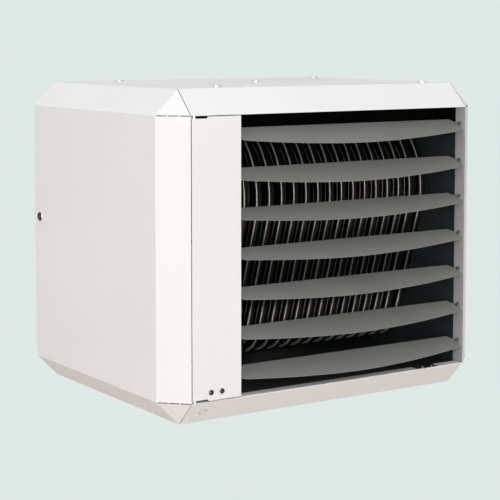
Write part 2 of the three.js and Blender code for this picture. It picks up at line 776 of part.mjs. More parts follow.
/** Burner head inside the drum: a closed cylinder of perforated steel, behind the flange. */
function burnerHead() {
  const base = flangeX[1] + seat;
  const foot = dividerX[0] + 1 + 2 * burnerSheet;
  const end = foot - 2 * burnerSheet + burnerLength;
  return revolve(
    [
      [burnerMouth, base],
      [burnerFoot, base],
      [burnerFoot, foot],
      [burnerRadius, foot + burnerSheet],
      [burnerRadius, end],
      [burnerRadius - burnerSheet, end],
      [burnerRadius - burnerSheet, foot + 2 * burnerSheet],
      [burnerMouth, foot + burnerSheet],
    ],
    "x",
    [drumY, drumZ],
    14,
  );
}

/** Cast elbow between the blower's outlet and the burner flange. */
function mixingElbow() {
  const outline = [
    [elbowX, drumY - 30],
    [elbowX, drumY + 35],
    [elbowX - 14, drumY + 35],
    [elbowX - 22, outletY - 6],
    [elbowX - 22, outletY],
    [blowerX[0], outletY],
    [blowerX[0], drumY + 4],
    [blowerX[0] + 12, drumY - 18],
    [blowerX[0] + 34, drumY - 30],
  ];
  return prism(outline, "z", drumZ - elbowHalf, drumZ + elbowHalf);
}

const scrollGrowth = 18; // less at the tongue
const scrollSteps = 18;
const scrollTurn = 300; // degrees from the outlet round to the tongue

/** Scroll housing: its radius grows round the wheel up to the outlet. */
function blowerHousing() {
  const points = [[outletY + seat, drumZ + elbowHalf], [outletY + seat, drumZ - elbowHalf]];
  for (let i = 0; i <= scrollSteps; i += 1) {
    const angle = THREE.MathUtils.degToRad(90 - (scrollTurn * i) / scrollSteps);
    const radius = scrollRadius - (scrollGrowth * i) / scrollSteps;
    points.push([blowerY + radius * Math.cos(angle), blowerZ - radius * Math.sin(angle)]);
  }
  return prism(points, "x", ...blowerX);
}

const motorRadius = 36;
const motorLength = 42;
const motorFlange = 4;

function blowerMotor() {
  const end = blowerX[0] - motorLength;
  const profile = [
    [0, end],
    [motorRadius - 6, end],
    [motorRadius, end + 6],
    [motorRadius, blowerX[0] - 1.5 * motorFlange],
    [motorRadius + motorFlange, blowerX[0] - motorFlange],
    [motorRadius + motorFlange, blowerX[0] - seat],
    [0, blowerX[0] - seat],
  ];
  return revolve(profile, "x", [blowerY, blowerZ], 14);
}

const valveWidth = 60;
const valveDepth = 76;
const valveHeight = 66;
const valveSetback = 57; // valve's front before the drum's axis
const valvePort = 28; // gas pipe's axis above the valve's base
const valveCap = 10;
const portRadius = 16;
const portLength = 8;
const coilRadius = 13;
const coilLength = 26;
const valveX = [gasX - valveWidth / 2, gasX + valveWidth / 2];
const valveY = [drumY - valveSetback, drumY - valveSetback + valveDepth];
const valveZ = [gasZ - valvePort, gasZ - valvePort + valveHeight];

function gasValve() {
  const capBase = valveZ[1] - valveCap;
  const body = block(valveX, valveY, [valveZ[0], capBase]);
  const capY = [valveY[0] + 6, valveY[1] - 20];
  const cap = block([valveX[0] + 8, valveX[1] - 8], capY, [capBase - 1, valveZ[1]]);
  const coilAt = [gasX, valveY[0] + 9 + coilRadius];
  const coil = rod("z", coilAt, coilRadius, valveZ[0] - coilLength, valveZ[0] + 1, 14);
  const port = rod("y", [gasX, gasZ], portRadius, valveY[1] - 1, valveY[1] + portLength, 8);
  return join(body, cap, coil, port);
}

const gasReach = 26; // gas pipe's end behind the rear face
const unionLength = 12;

/** Gas pipe from the valve through the rear panel, with the hexagon union that the supply screws on to. */
function gasPipe() {
  const pipe = rod("y", [gasX, gasZ], gasRadius, valveY[1] + portLength + seat, rear + gasReach, 14);
  return pipe.add(rod("y", [gasX, gasZ], unionRadius, rear + seat, rear + unionLength, 6));
}

const injectorRadius = 7;

/** Injector pipe from the valve up to the mixing elbow. */
function injectorPipe() {
  const at = [gasX + 4, (valveY[0] + valveY[1]) / 2];
  return rod("z", at, injectorRadius, valveZ[1] + seat, drumZ - elbowHalf - seat, 12);
}

function electrode() {
  const [outer, inner] = flangeX;
  const tip = electrodeRadius / 2;
  const collar = electrodeRadius + 2.5;
  const profile = [
    [0, outer - 34],
    [electrodeRadius - 1, outer - 34],
    [electrodeRadius - 1, outer - 26],
    [collar, outer - 24],
    [collar, outer - seat],
    [electrodeRadius, outer - seat],
    [electrodeRadius, inner + 4],
    [tip, inner + 4],
    [tip, inner + 40],
    [0, inner + 40],
  ];
  return revolve(profile, "x", [electrodeY, electrodeZ], 8);
}

const boxDepth = 62;
const boxWidth = 108;
const boxHeight = 200;
const boxSetback = 40;
const boxDrop = 64;
const boxWall = 2;
const boxX = [dividerX[0] - seat - boxDepth, dividerX[0] - seat];
const boxY = [front + boxSetback, front + boxSetback + boxWidth];
const boxZ = [top - boxDrop - boxHeight, top - boxDrop];

/** Control box: an open tray screwed to the duct wall. */
function controlBox() {
  const inside = ([low, high]) => [low + boxWall, high - boxWall];
  const room = block([boxX[0] - 1, boxX[1] - boxWall], inside(boxY), inside(boxZ));
  return block(boxX, boxY, boxZ).subtract(room);
}

const boardThickness = 2;
const boardStand = 12; // board in front of the tray's back

/** Circuit board on four posts, with three relays and a transformer. */
function controlBoard() {
  const face = boxX[1] - boardStand;
  const board = block(
    [face - boardThickness, face],
    [boxY[0] + 6, boxY[1] - 6],
    [boxZ[0] + 8, boxZ[1] - 8],
  );
  const levels = [boxZ[0] + 18, boxZ[1] - 18];
  const corners = [boxY[0] + 14, boxY[1] - 14].flatMap((y) => levels.map((z) => [y, z]));
  const posts = corners.map((at) => rod("x", at, 3, face - 0.5, boxX[1] - boxWall - seat, 8));
  const onBoard = face - boardThickness / 2;
  const relays = [0, 1, 2].map((i) => {
    const base = boxZ[0] + 30 + i * 46;
    return block([face - 20, onBoard], [boxY[0] + 22, boxY[0] + 50], [base, base + 32]);
  });
  const coilZ = [boxZ[0] + 110, boxZ[0] + 160];
  const transformer = block([face - 30, onBoard], [boxY[1] - 48, boxY[1] - 16], coilZ);
  return join(board, ...posts, ...relays, transformer);
}

const controlLid = () => block([boxX[0] - 2.5, boxX[0] - seat], boxY, boxZ);

const clampCount = 6;
const clampHeight = 36;
const clampDepth = 30;
const clampBase = 8;
const clampDrop = 22; // clamps below the control box

/** Terminal strip under the control box: a rail with a row of clamps. */
function terminalStrip() {
  const zs = [boxZ[0] - clampDrop - clampHeight, boxZ[0] - clampDrop];
  const base = block([boxX[1] - clampBase, boxX[1]], boxY, [zs[0] + 4, zs[1] - 4]);
  const clampPitch = (boxY[1] - boxY[0] - 6) / clampCount;
  const clamps = Array.from({ length: clampCount }, (_, i) => {
    const start = boxY[0] + 4 + i * clampPitch;
    return block([boxX[1] - clampDepth, boxX[1] - clampBase + 1], [start, start + clampPitch - 2], zs);
  });
  return join(base, ...clamps);
}

const flueBend = 48; // radius of the flue pipe's bend

/** Flue pipe: out of the collector, through the duct's wall, round a bend and back to the rear panel. */
function fluePipe() {
  const bend = arc([spigotX + flueBend, flueY + flueBend], flueBend, 270, 180, 5);
  const outline = [[headerX[0] - seat, flueY], ...bend, [spigotX, rear - sheet - seat]];
  const path = outline.map(([x, y]) => new THREE.Vector3(x, y, flueZ));
  return sweep(path, ring(flueRadius, 10, flueRadius - flueWall));
}

const spigotSheet = 1.7;
const spigotBead = 2;
const beadPlace = 34; // bead behind the rear face

/** Round spigot on the rear panel, with a flat flange and a bead. */
function spigot(z) {
  const inner = spigotRadius - flueWall;
  const over = rear + seat + spigotSheet;
  const bead = rear + beadPlace;
  const profile = [
    [inner, rear + seat],
    [spigotRadius + spigotFlange, rear + seat],
    [spigotRadius + spigotFlange, over],
    [spigotRadius, over],
    [spigotRadius, bead - spigotBead],
    [spigotRadius + spigotBead, bead],
    [spigotRadius, bead + spigotBead],
    [spigotRadius, rear + spigotLength],
    [inner, rear + spigotLength],
  ];
  return revolve(profile, "y", [spigotX, z], 14);
}

const glandHexagon = 10; // to the hexagon's corners
const glandDome = 9;
const glandBore = 3.5;
const glandLength = 20; // outside the rear panel
const glandTail = 9; // inside it

/** Cable gland: hexagon body outside the rear panel, domed nut, threaded end inside. */
function cableGland(z) {
  const at = [glandX, z];
  const end = rear + glandLength;
  const tail = rod("y", at, glandRadius, rear - glandTail, rear + 1, 8);
  const hexagon = rod("y", at, glandHexagon, rear + seat, rear + 7, 6);
  const dome = revolve(
    [
      [0, rear + 6],
      [glandDome, rear + 6],
      [glandDome, end - 4],
      [glandDome - 3, end],
      [0, end],
    ],
    "y",
    at,
    8,
  );
  return cut(join(tail, hexagon, dome), rod("y", at, glandBore, rear - glandTail - 1, end + 1, 8));
}

// ---------------------------------------------------------------- fan
const ringDepth = 58; // how far the ring reaches in from the rear face
const ringFlange = 34; // outer edge of the flange, from the bore
const beadWidth = 9;
const beadRise = 5; // bead's top above the flange

/** Inlet ring: a short cylinder through the rear panel, a rolled bead round its mouth, a flange outside. */
function fanRing() {
  const [under, over] = [rear + seat, rear + seat + ringSheet];
  const profile = [
    [fanBore, rear - ringDepth],
    [fanBore + ringSheet, rear - ringDepth],
    [fanBore + ringSheet, over],
    [fanBore + 0.5 * beadWidth, over + 0.7 * beadRise],
    [fanBore + 0.9 * beadWidth, under],
    [fanBore + ringFlange, under],
    [fanBore + ringFlange, over],
    [fanBore + beadWidth, over],
    [fanBore + 0.6 * beadWidth, over + 0.95 * beadRise],
    [fanBore + 0.35 * beadWidth, over + beadRise],
    [fanBore, over + 0.15 * beadRise],
  ];
  return revolve(profile, "y", [fanX, fanZ], ringSides);
}

const bladeChord = [74, 114]; // at the hub and at the tip
const bladePitch = [36, 20]; // degrees
const bladeSheet = [3.4, 1.8];
const bladeCamber = 7;
const bladeSweep = 0.38; // radians that the tip trails by
const bladePlane = 29; // blades' middle before the rear face
const bladeRoot = 4; // let into the hub

/** Sickle blade as a grid: the chord and pitch fall and the sweep grows from the hub to the tip. */
function fanBlade(turn) {
  const geometry = new THREE.BoxGeometry(1, 1, 1, 4, 4, 1);
  const place = geometry.attributes.position;
  const rootRadius = hubRadius - bladeRoot;
  for (let i = 0; i < place.count; i += 1) {
    const out = place.getX(i) + 0.5;
    const along = place.getY(i);
    const atPlace = ([root, tip]) => root + (tip - root) * out;
    const radius = atPlace([rootRadius, fanTip]);
    const chord = atPlace(bladeChord);
    const pitch = THREE.MathUtils.degToRad(atPlace(bladePitch));
    const camber = bladeCamber * (0.25 - along * along);
    const angle = turn + bladeSweep * out * out + (along * chord * Math.cos(pitch)) / radius;
    const axial = along * chord * Math.sin(pitch) + camber + place.getZ(i) * atPlace(bladeSheet);
    const [x, z] = [fanX + radius * Math.sin(angle), fanZ + radius * Math.cos(angle)];
    place.setXYZ(i, x, rear - bladePlane + axial, z);
  }
  return solid(geometry);
}

const hubFront = 56; // hub's front and back before the rear face
const hubBack = 6;
const hubRound = [16, 12]; // rounding of the hub's nose
const spindleEnd = 40;

function fanImpeller() {
  const hub = revolve(
    [
      [0, rear - hubFront],
      [hubRadius - hubRound[0], rear - hubFront],
      [hubRadius, rear - hubFront + hubRound[1]],
      [hubRadius, rear - hubBack],
      [0, rear - hubBack],
    ],
    "y",
    [fanX, fanZ],
    20,
  );
  const blades = Array.from({ length: bladeCount }, (_, i) => fanBlade((2 * Math.PI * i) / bladeCount));
  const bore = rod("y", [fanX, fanZ], spindleRadius + seat, rear - spindleEnd - 2, rear, 16);
  return cut(join(hub, ...blades), bore);
}

const fanMotorRadius = 46;
const fanMotorBack = 26;
const fanMotorFoot = 36;

/** Motor: stator in a round case behind the hub, with the fixed spindle that the impeller turns on. */
function fanMotor() {
  const plate = rear + guardRise - 2;
  return revolve(
    [
      [0, rear - spindleEnd],
      [spindleRadius, rear - spindleEnd],
      [spindleRadius, rear - hubBack + 2],
      [fanMotorRadius - 6, rear - hubBack + 2],
      [fanMotorRadius, rear + 2],
      [fanMotorRadius, rear + fanMotorBack],
      [fanMotorFoot, rear + fanMotorBack + 8],
      [fanMotorFoot, plate],
      [0, plate],
    ],
    "y",
    [fanX, fanZ],
    18,
  );
}

const guardRings = [90, 132, 174, 216];
const guardSpokes = 6;
const guardFoot = 230;
const guardPlate = 50;
const guardEye = 6;

/** Wire guard that carries the motor: rings on bent spokes, a plate in the middle, an eye at each foot. */
function fanGuard() {
  const level = rear + guardRise;
  const plate = rod("y", [fanX, fanZ], guardPlate, level - 2 + seat, level + 1, 18);
  const rings = guardRings.map((radius) => {
    const wire = new THREE.TorusGeometry(radius, wireRadius, 3, 16);
    return solid(wire.rotateX(Math.PI / 2).translate(fanX, level - 1, fanZ));
  });
  const spokes = [];
  for (let i = 0; i < guardSpokes; i += 1) {
    const angle = (2 * Math.PI * (i + 0.5)) / guardSpokes;
    const at = (radius, y) =>
      new THREE.Vector3(fanX + radius * Math.cos(angle), y, fanZ + radius * Math.sin(angle));
    const bend = [at(guardFoot - 6, level), at(guardFoot - 2, level - 4)];
    const foot = at(guardFoot, rear + 3);
    spokes.push(
      sweep([at(guardPlate - 6, level), ...bend, foot], ring(wireRadius, 3)),
      rod("y", [foot.x, foot.z], guardEye, rear + ringSheet + 2 * seat, rear + 4.5, 6),
    );
  }
  return join(plate, ...rings, ...spokes);
}

// ---------------------------------------------------------------- lock
const lockTurn = new THREE.Group();

const lockHead = 9;
const lockBody = 6;
const lockEnd = 3.2; // body's inner end behind the door's face
const lockSlot = [1.8, 13];
const camSheet = 2.3;
const camReach = 17;
const camHalf = 4;

/** Quarter-turn lock: slotted head outside the door, body through it. */
function lockBarrel() {
  const profile = [
    [0, left - 3.4],
    [0.73 * lockHead, left - 3.4],
    [lockHead, left - 1.8],
    [lockHead, left - seat],
    [lockBody, left - seat],
    [lockBody, left + lockEnd],
    [0, left + lockEnd],
  ];
  const slot = [lockY, lockZ].map((middle, i) => [middle - lockSlot[i] / 2, middle + lockSlot[i] / 2]);
  return cut(revolve(profile, "x", [lockY, lockZ], 12), block([left - 4, left - 2], ...slot));
}

/** Cam on the barrel's end, upright when open; a quarter turn puts it behind the rear panel's folded rim. */
function lockCam() {
  const outline = [
    ...arc([lockY, lockZ], camHalf + 1, 180, 360, 6),
    [lockY + camHalf, lockZ + camReach],
    [lockY - camHalf, lockZ + camReach],
  ];
  const from = left + lockEnd + seat;
  return prism(outline, "x", from, from + camSheet);
}

function lockNut() {
  const nut = rod("x", [lockY, lockZ], lockHole + sheet, left + sheet + seat, left + lockEnd - seat, 6);
  return nut.subtract(rod("x", [lockY, lockZ], lockHole, left, left + lockEnd + 1, 12));
}

// ---------------------------------------------------------------- assembly
add("top_panel", topPanel(), white);
add("bottom_panel", bottomPanel(), white);
add("front_panel_left", frontPanel(), white);
add("side_cover_right", cut(sideShell(1), ...foldSlits(1)), white);
add("rear_panel", rearPanel(), white);
[...suspension, centreNut].forEach((at, i) => add(`suspension_nut_${i + 1}`, rivetNut(at), zinc));
panelScrews.forEach((x, i) =>
  add(`panel_screw_${i + 1}`, panScrew("y", [x, panelScrewZ], front, -1, 2.8, 9), blackPlastic),
);
lipScrews.forEach((x, i) =>
  add(`floor_screw_${i + 1}`, panScrew("z", [x, lipScrewY], bottom + floorHeight, 1, 5, 3.5), blackPlastic),
);

add("duct_divider", divider(), ductSteel);
add("duct_side_right", ductSide(), ductSteel);
add("duct_floor", ductFloor(), ductSteel);
add("heat_shield", heatShield(), ductSteel);
add("louvre_rail_left", louvreRail(-1), railGrey);
add("louvre_rail_right", louvreRail(1), railGrey);
for (let i = 0; i < louvreCount; i += 1) {
  const blade = add(`louvre_${i + 1}`, louvre(), louvreGrey);
  blade.position.set(fanX, pivotY, louvreZ(i));
  blade.rotation.x = THREE.MathUtils.degToRad(louvreTilt);
}

add("combustion_drum", drum(), stainless);
add("exchanger_outer_bank", outerBank(), stainless);
add("exchanger_inner_bank", innerBank(), stainless);
add("burner_flange", burnerFlange(), zinc);
add("burner_head", burnerHead(), stainless);
add("mixing_elbow", mixingElbow(), castAluminium);
add("blower_housing", blowerHousing(), castAluminium);
add("blower_motor", blowerMotor(), blackPlastic);
add("gas_valve", gasValve(), castAluminium);
add("gas_pipe", gasPipe(), brass);
add("injector_pipe", injectorPipe(), brass);
add("ignition_electrode", electrode(), ceramic);
add("control_box", controlBox(), greyPlastic);
add("control_board", controlBoard(), blackPlastic);
add("control_box_lid", controlLid(), greyPlastic);
add("terminal_strip", terminalStrip(), greyPlastic);
add("flue_pipe", fluePipe(), stainless);
add("flue_spigot", spigot(flueZ), zinc);
add("air_intake_spigot", spigot(intakeZ), zinc);
glandZ.forEach((z, i) => add(`cable_gland_${i + 1}`, cableGland(z), blackPlastic));

add("fan_ring", fanRing(), zinc);
add("fan_impeller", fanImpeller(), blackPlastic);
add("fan_motor", fanMotor(), castAluminium);
add("fan_guard", fanGuard(), blackPlastic);

add("service_door", door(), white);
add("hinge_pin_top", hingePin(1), zinc);
add("hinge_pin_bottom", hingePin(-1), zinc);
add("hinge_bracket_top", hingeBracket(1), zinc);
add("hinge_bracket_bottom", hingeBracket(-1), zinc);
heater.add(lockTurn);
add("lock_barrel", lockBarrel(), blackPlastic, lockTurn);
add("lock_cam", lockCam(), zinc, lockTurn);
add("lock_nut", lockNut(), zinc);

export default heater;
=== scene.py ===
"""Looks of a suspended fan heater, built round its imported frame.

The frame is in metres: +Z is up, -Y is the air outlet, the origin is the middle of the casing's top face.
Sizes here are in millimetres in the same frame, and as_node turns them into metres.
"""

import json
import math

import bmesh
import bpy
import numpy as np
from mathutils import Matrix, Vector


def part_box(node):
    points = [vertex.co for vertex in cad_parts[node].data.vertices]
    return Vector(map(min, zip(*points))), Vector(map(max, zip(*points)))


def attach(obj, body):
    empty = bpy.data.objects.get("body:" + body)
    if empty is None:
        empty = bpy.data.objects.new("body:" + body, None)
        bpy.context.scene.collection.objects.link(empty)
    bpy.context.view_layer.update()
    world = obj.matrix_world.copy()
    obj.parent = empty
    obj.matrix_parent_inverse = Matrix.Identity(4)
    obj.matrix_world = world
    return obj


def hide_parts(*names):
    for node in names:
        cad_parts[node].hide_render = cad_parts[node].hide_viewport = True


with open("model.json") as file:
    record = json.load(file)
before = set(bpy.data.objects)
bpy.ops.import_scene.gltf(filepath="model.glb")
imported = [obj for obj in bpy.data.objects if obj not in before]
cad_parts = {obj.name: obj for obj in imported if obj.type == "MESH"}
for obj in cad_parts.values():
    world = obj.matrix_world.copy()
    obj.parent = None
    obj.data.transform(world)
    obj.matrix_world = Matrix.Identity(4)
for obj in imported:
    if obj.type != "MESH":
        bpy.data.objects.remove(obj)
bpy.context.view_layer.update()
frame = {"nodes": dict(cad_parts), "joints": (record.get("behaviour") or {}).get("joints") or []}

MM = 0.001
X, Y, Z = np.eye(3)
TURN = 2 * math.pi

# -------------------- sizes, in millimetres
SHEET = 1.2
SEAT = 0.3  # clearance between pieces that touch on the bench

HALF_WIDTH, BOTTOM = 350.0, -584.0
REAR, FRONT = 259.0, -259.0
OUTLET = (-205.0, 305.0)
CHAMFER = 45.0
SHEET_FOLD, RAIL_FOLD, BOX_FOLD = 0.4, 0.3, 0.8
SLIT_COUNT, SLIT_BRIDGE, SLIT_WIDTH = 3, 2.5, 1.7
HEM_RADIUS = 1.3
KNOCK_OUT_X, KNOCK_OUT_RADIUS, KNOCK_OUT_GROOVE = -270.0, 7.0, 0.9

PIVOT_RADIUS, PIVOT_RISE = 2.5, 1.2
PIN_REACH = 4.5
BLADE_REAR = 17.0  # behind the pivot
BLADE_TIP = 14.0  # before the pivot, at the blade's ends
BLADE_BOW = 26.0  # further forward in the middle
BLADE_STEP = 5.0  # further forward next to the shoulders
BOW_POWER = 1.8
BLADE_CORNER, BLADE_SHOULDER = 13.0, 8.0
BLADE_GAP = 1.5
LOUVRE_TILTS = np.radians([34, 33, 28.5, 27.5, 27.5, 28, 29])  # louvres are set by hand, so each differs

TUBE_PITCH = 27.5
TUBE_RADIUS = 8.0
TUBE_COUNT = 18
LAST_TUBE = 282.0
RANK_LEAN = math.radians(18)
OUTER_LOOP, OUTER_BEND = 150.0, 60.0
INNER_LOOP, INNER_BEND = 118.0, 32.0
BEND_LEVEL = -454.0
WELD_BEAD = 1.2
HEADER_X = (-198.5, 293.0)
HEADER_Y, HEADER_Z = (10.0, 75.0), (-106.0, -38.0)
COLLECTOR_Y, COLLECTOR_Z = (-8.0, 72.0), (-434.0, -369.0)
DRUM_AXIS = (0, -5.0, -206.0)
DRUM_X = (-206.5, 262.0)
DRUM_RADIUS, DRUM_WALL, DRUM_DISH = 85.0, 2.0, 28.0
APRON_Y, APRON_TOP, APRON_END = -170.0, -22.0, -92.0

FAN_CENTRE = np.array([50.0, REAR, -292.0])
FAN_BORE = 203.0
HUB_RADIUS = 62.0
SICKLE_COUNT, SICKLE_REACH = 5, 199.0
SICKLE_CHORD, SICKLE_SHEET = (74.0, 114.0), (3.4, 1.8)  # from root to tip
SICKLE_PITCH = (math.radians(36), math.radians(20))
SICKLE_SWEEP, SICKLE_CAMBER = 0.38, 7.0
RING_FACE = SEAT + 1.5
GUARD_RISE, GUARD_FOOT = 38.0, 230.3

DIVIDER_FACE = -208.3
PLATE_FACE = DIVIDER_FACE - 6.0  # outer face of the burner plate
ELBOW_Z = (DRUM_AXIS[2] - 26, DRUM_AXIS[2] + 26)
ELECTRODE = (-47.0, -168.0)  # y, z
FLUE_LEVEL, INTAKE_LEVEL = -402.0, -114.0
SPIGOT_X = -262.0
GAS_AXIS = (-270.0, 0, -329.5)
VALVE_RISE = 38.0  # from the axis to the valve's top
CONTROL_Y, CONTROL_Z = (-219.0, -111.0), (-264.0, -64.0)
BLOWER_X = (-290.0, -234.0)
BLOWER_AXIS = (0, 128.0, -172.0)
BLOWER_MOUTH = 58.3
LOCK_CENTRE = (-HALF_WIDTH, 236.0, -261.0)

# -------------------- surfaces


def circle(radius, sides):
    """Points (radius cos t, radius sin t) for t in equal steps round a turn."""
    t = np.linspace(0, TURN, sides, endpoint=False)
    return radius * np.stack([np.cos(t), np.sin(t)], -1)


def arc(centre, radius, start, end, steps):
    """Points centre + radius (cos t, sin t) for t in equal steps between two angles in degrees."""
    t = np.radians(np.linspace(start, end, steps + 1))
    return np.asarray(centre) + radius * np.stack([np.cos(t), np.sin(t)], -1)


def rounded_rectangle(low, high, radius, steps=4):
    """Corners of a rectangle turned into quarter circles: four arcs, joined by the straight sides."""
    (a0, b0), (a1, b1) = low, high
    corners = ((a1, b1, 1, 1, 0), (a0, b1, -1, 1, 90), (a0, b0, -1, -1, 180), (a1, b0, 1, -1, 270))
    quarters = [
        arc((a - side_a * radius, b - side_b * radius), radius, start, start + 90, steps)
        for a, b, side_a, side_b, start in corners
    ]
    return np.concatenate(quarters)


def loft(rings, ends="closed"):
    """A skin over rings of points, shape (rings, points, 3): point j of ring i joins j + 1 and ring i + 1.
    Closed ends add a ring in the middle of each end. Joined ends lead the last ring to the first."""
    rings = np.asarray(rings, float)
    if ends == "closed":
        first, last = rings[:1], rings[-1:]
        middle = [np.broadcast_to(end.mean(1, keepdims=True), end.shape) for end in (first, last)]
        rings = np.concatenate([middle[0], rings, middle[1]])
    count, points = rings.shape[:2]
    bands = count if ends == "joined" else count - 1
    i, j = np.meshgrid(np.arange(bands), np.arange(points), indexing="ij")
    after, beside = (i + 1) % count, (j + 1) % points
    faces = np.stack([i * points + j, after * points + j, after * points + beside, i * points + beside], -1)
    return rings.reshape(-1, 3), faces.reshape(-1, 4)


def turned(profile, axis, centre, sides=48, ends="closed", hexagon=()):
    """A profile of (radius r, place a) about an axis w: centre + a w + r (u cos t + v sin t).
    The rings named in hexagon are drawn in to six flats: r cos 30 / cos(t mod 60 - 30)."""
    w = np.asarray(axis, float)
    u = Y if abs(w[0]) > 0.5 else X
    v = np.cross(w, u)
    r, a = np.asarray(profile, float).T
    round_points = circle(1, sides)
    across = round_points[:, :1] * u + round_points[:, 1:] * v
    sixth = TURN / 6
    t = np.linspace(0, TURN, sides, endpoint=False)
    flats = np.ones((len(r), sides))
    flats[list(hexagon)] = math.cos(sixth / 2) / np.cos(np.mod(t, sixth) - sixth / 2)
    rings = np.asarray(centre) + a[:, None, None] * w + (r[:, None] * flats)[..., None] * across
    return loft(rings, ends)


def bar(path, radius, side, sides=14, ends="closed"):
    """A round bar along a flat path p: p + radius (n cos t + side sin t), n square to the path and to side.
    It also gives the path's direction at each point."""
    path = np.asarray(path, float)
    ahead = np.gradient(path, axis=0)
    ahead /= np.linalg.norm(ahead, axis=1, keepdims=True)
    normal = np.cross(ahead, side)
    round_points = circle(1, sides)
    radius = np.broadcast_to(radius, len(path))[:, None, None]
    rings = path[:, None] + radius * (
        normal[:, None] * round_points[None, :, :1] + np.asarray(side) * round_points[None, :, 1:]
    )
    if ends == "closed":
        ahead = np.concatenate([ahead[:1], ahead, ahead[-1:]])
    return *loft(rings, ends), np.repeat(ahead, sides, 0)


def pipe(path, outer, wall, side, sides=48):
    """A bar's outside, then its inside a wall further in and run backwards, joined at both ends."""
    radii = (outer, outer - wall)
    outside, inside = (bar(path, radius, side, sides, "open")[0].reshape(-1, sides, 3) for radius in radii)
    return loft(np.concatenate([outside, inside[::-1]]), "joined")


def softened(outline, radius, steps=5):
    """Each corner P of an outline becomes (1-t)^2 A + 2t(1-t) P + t^2 B, with A and B a radius from P."""
    corner = np.asarray(outline, float)
    reach = []
    for neighbour in (np.roll(corner, 1, 0), np.roll(corner, -1, 0)):
        away = neighbour - corner
        length = np.linalg.norm(away, axis=1, keepdims=True)
        reach.append(corner + away / length * np.minimum(radius, 0.49 * length))
    t = np.linspace(0, 1, steps)[None, :, None]
    curve = (1 - t) ** 2 * reach[0][:, None] + 2 * t * (1 - t) * corner[:, None] + t**2 * reach[1][:, None]
    return curve.reshape(-1, 2)


def extruded(outline, axis, start, end, round_off=0.0):
    """A flat outline carried from start to end along an axis, its two rims drawn in by round_off.
    The outline's (a, b) are (y, z) on x, (x, z) on y and (x, y) on z."""
    outline = np.asarray(outline, float)
    order = {"x": (2, 0, 1), "y": (0, 2, 1), "z": (0, 1, 2)}[axis]
    middle = (outline.min(0) + outline.max(0)) / 2
    reach = np.abs(outline - middle).max(0)
    levels = [(start, 0), (end, 0)]
    if round_off:
        levels = [(start, 1), (start + 0.3 * round_off, 0.3), (start + round_off, 0)]
        levels += [(end - round_off, 0), (end - 0.3 * round_off, 0.3), (end, 1)]
    rings = []
    for level, share in levels:
        flat = middle + (outline - middle) * (1 - share * round_off / reach)
        rings.append(np.column_stack([flat, np.full(len(flat), level)])[:, order])
    return loft(rings)


def rounded_box(x, y, z, radius=1.0):
    """A box between pairs of x, y and z: its edges along x are quarter circles, its ends are drawn in."""
    return extruded(rounded_rectangle((y[0], z[0]), (y[1], z[1]), radius), "x", x[0], x[1], radius * 0.6)


def hexagon_bolt(centre, axis, face, out, radius, height):
    """Hexagon head on a washer, out from a face along an axis; its crown is chamfered."""
    washer = radius * 1.15
    profile = [(washer, 0), (washer, 0.8), (radius, 0.8), (radius, 0.85 * height), (0.86 * radius, height)]
    return turned([(r, face + out * a) for r, a in profile], axis, centre, 24, "closed", hexagon=(2, 3))


def bolt_circle(centre, reach, count, axis, face, out, radius, height, first):
    """Bolts at equal angles, from the angle first on, round an axis along X or Y."""
    angles = np.radians(first + 360 / count * np.arange(count))
    side = Y if abs(axis[0]) > 0.5 else X
    places = np.array(centre) + reach * (np.cos(angles)[:, None] * side + np.sin(angles)[:, None] * Z)
    return [hexagon_bolt(place, axis, face, out, radius, height) for place in places]


def placed(name, data):
    """A new object of the scene that shows a mesh, lamp or camera."""
    made = bpy.data.objects.new(name, data)
    bpy.context.scene.collection.objects.link(made)
    return made


def as_node(name, groups, stands_for=(), body="casing", sharp=35):
    """Pairs of (material, shells in millimetres) as one mesh that rides a body and hides any nodes it stands
    for.
    The point attribute run is the way the metal was drawn, which bars give and other shells take as X."""
    points, faces, marks, runs, start = [], [], [], [], 0
    for index, (_, shells) in enumerate(groups):
        for shell_points, shell_faces, *run in shells:
            points.append(shell_points * MM)
            faces.append(shell_faces + start)
            runs.append(run[0] if run else np.broadcast_to(X, shell_points.shape))
            marks.append(np.full(len(shell_faces), index, np.int32))
            start += len(shell_points)
    points, faces = np.concatenate(points), np.concatenate(faces)
    mesh = bpy.data.meshes.new(name)
    mesh.vertices.add(len(points))
    mesh.vertices.foreach_set("co", points.astype(np.float32).ravel())
    mesh.loops.add(faces.size)
    mesh.loops.foreach_set("vertex_index", faces.astype(np.int32).ravel())
    mesh.polygons.add(len(faces))
    mesh.polygons.foreach_set("loop_start", np.arange(0, faces.size, 4, dtype=np.int32))
    mesh.polygons.foreach_set("loop_total", np.full(len(faces), 4, np.int32))
    for material, _ in groups:
        mesh.materials.append(material)
    mesh.polygons.foreach_set("material_index", np.concatenate(marks))
    mesh.update(calc_edges=True)
    run = mesh.attributes.new("run", "FLOAT_VECTOR", "POINT")
    run.data.foreach_set("vector", np.concatenate(runs).astype(np.float32).ravel())
    made = placed(name, mesh)
    close_mesh(mesh, sharp)
    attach(made, body)
    if stands_for:
        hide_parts(*stands_for)
    return made


def casing_part(name, material, shells, node):
    """One mesh of one material that stands for one node of the casing."""
    as_node(name, [(material, shells)], [node])


def close_mesh(mesh, sharp):
    """Merges doubles, turns every shell's faces outwards and shades it."""
    work = bmesh.new()
    work.from_mesh(mesh)
    bmesh.ops.remove_doubles(work, verts=work.verts, dist=1e-6)
    bmesh.ops.recalc_face_normals(work, faces=work.faces)
    work.to_mesh(mesh)
    work.free()
    mesh.shade_smooth()
    mesh.set_sharp_from_angle(angle=math.radians(sharp))


# -------------------- shader groups


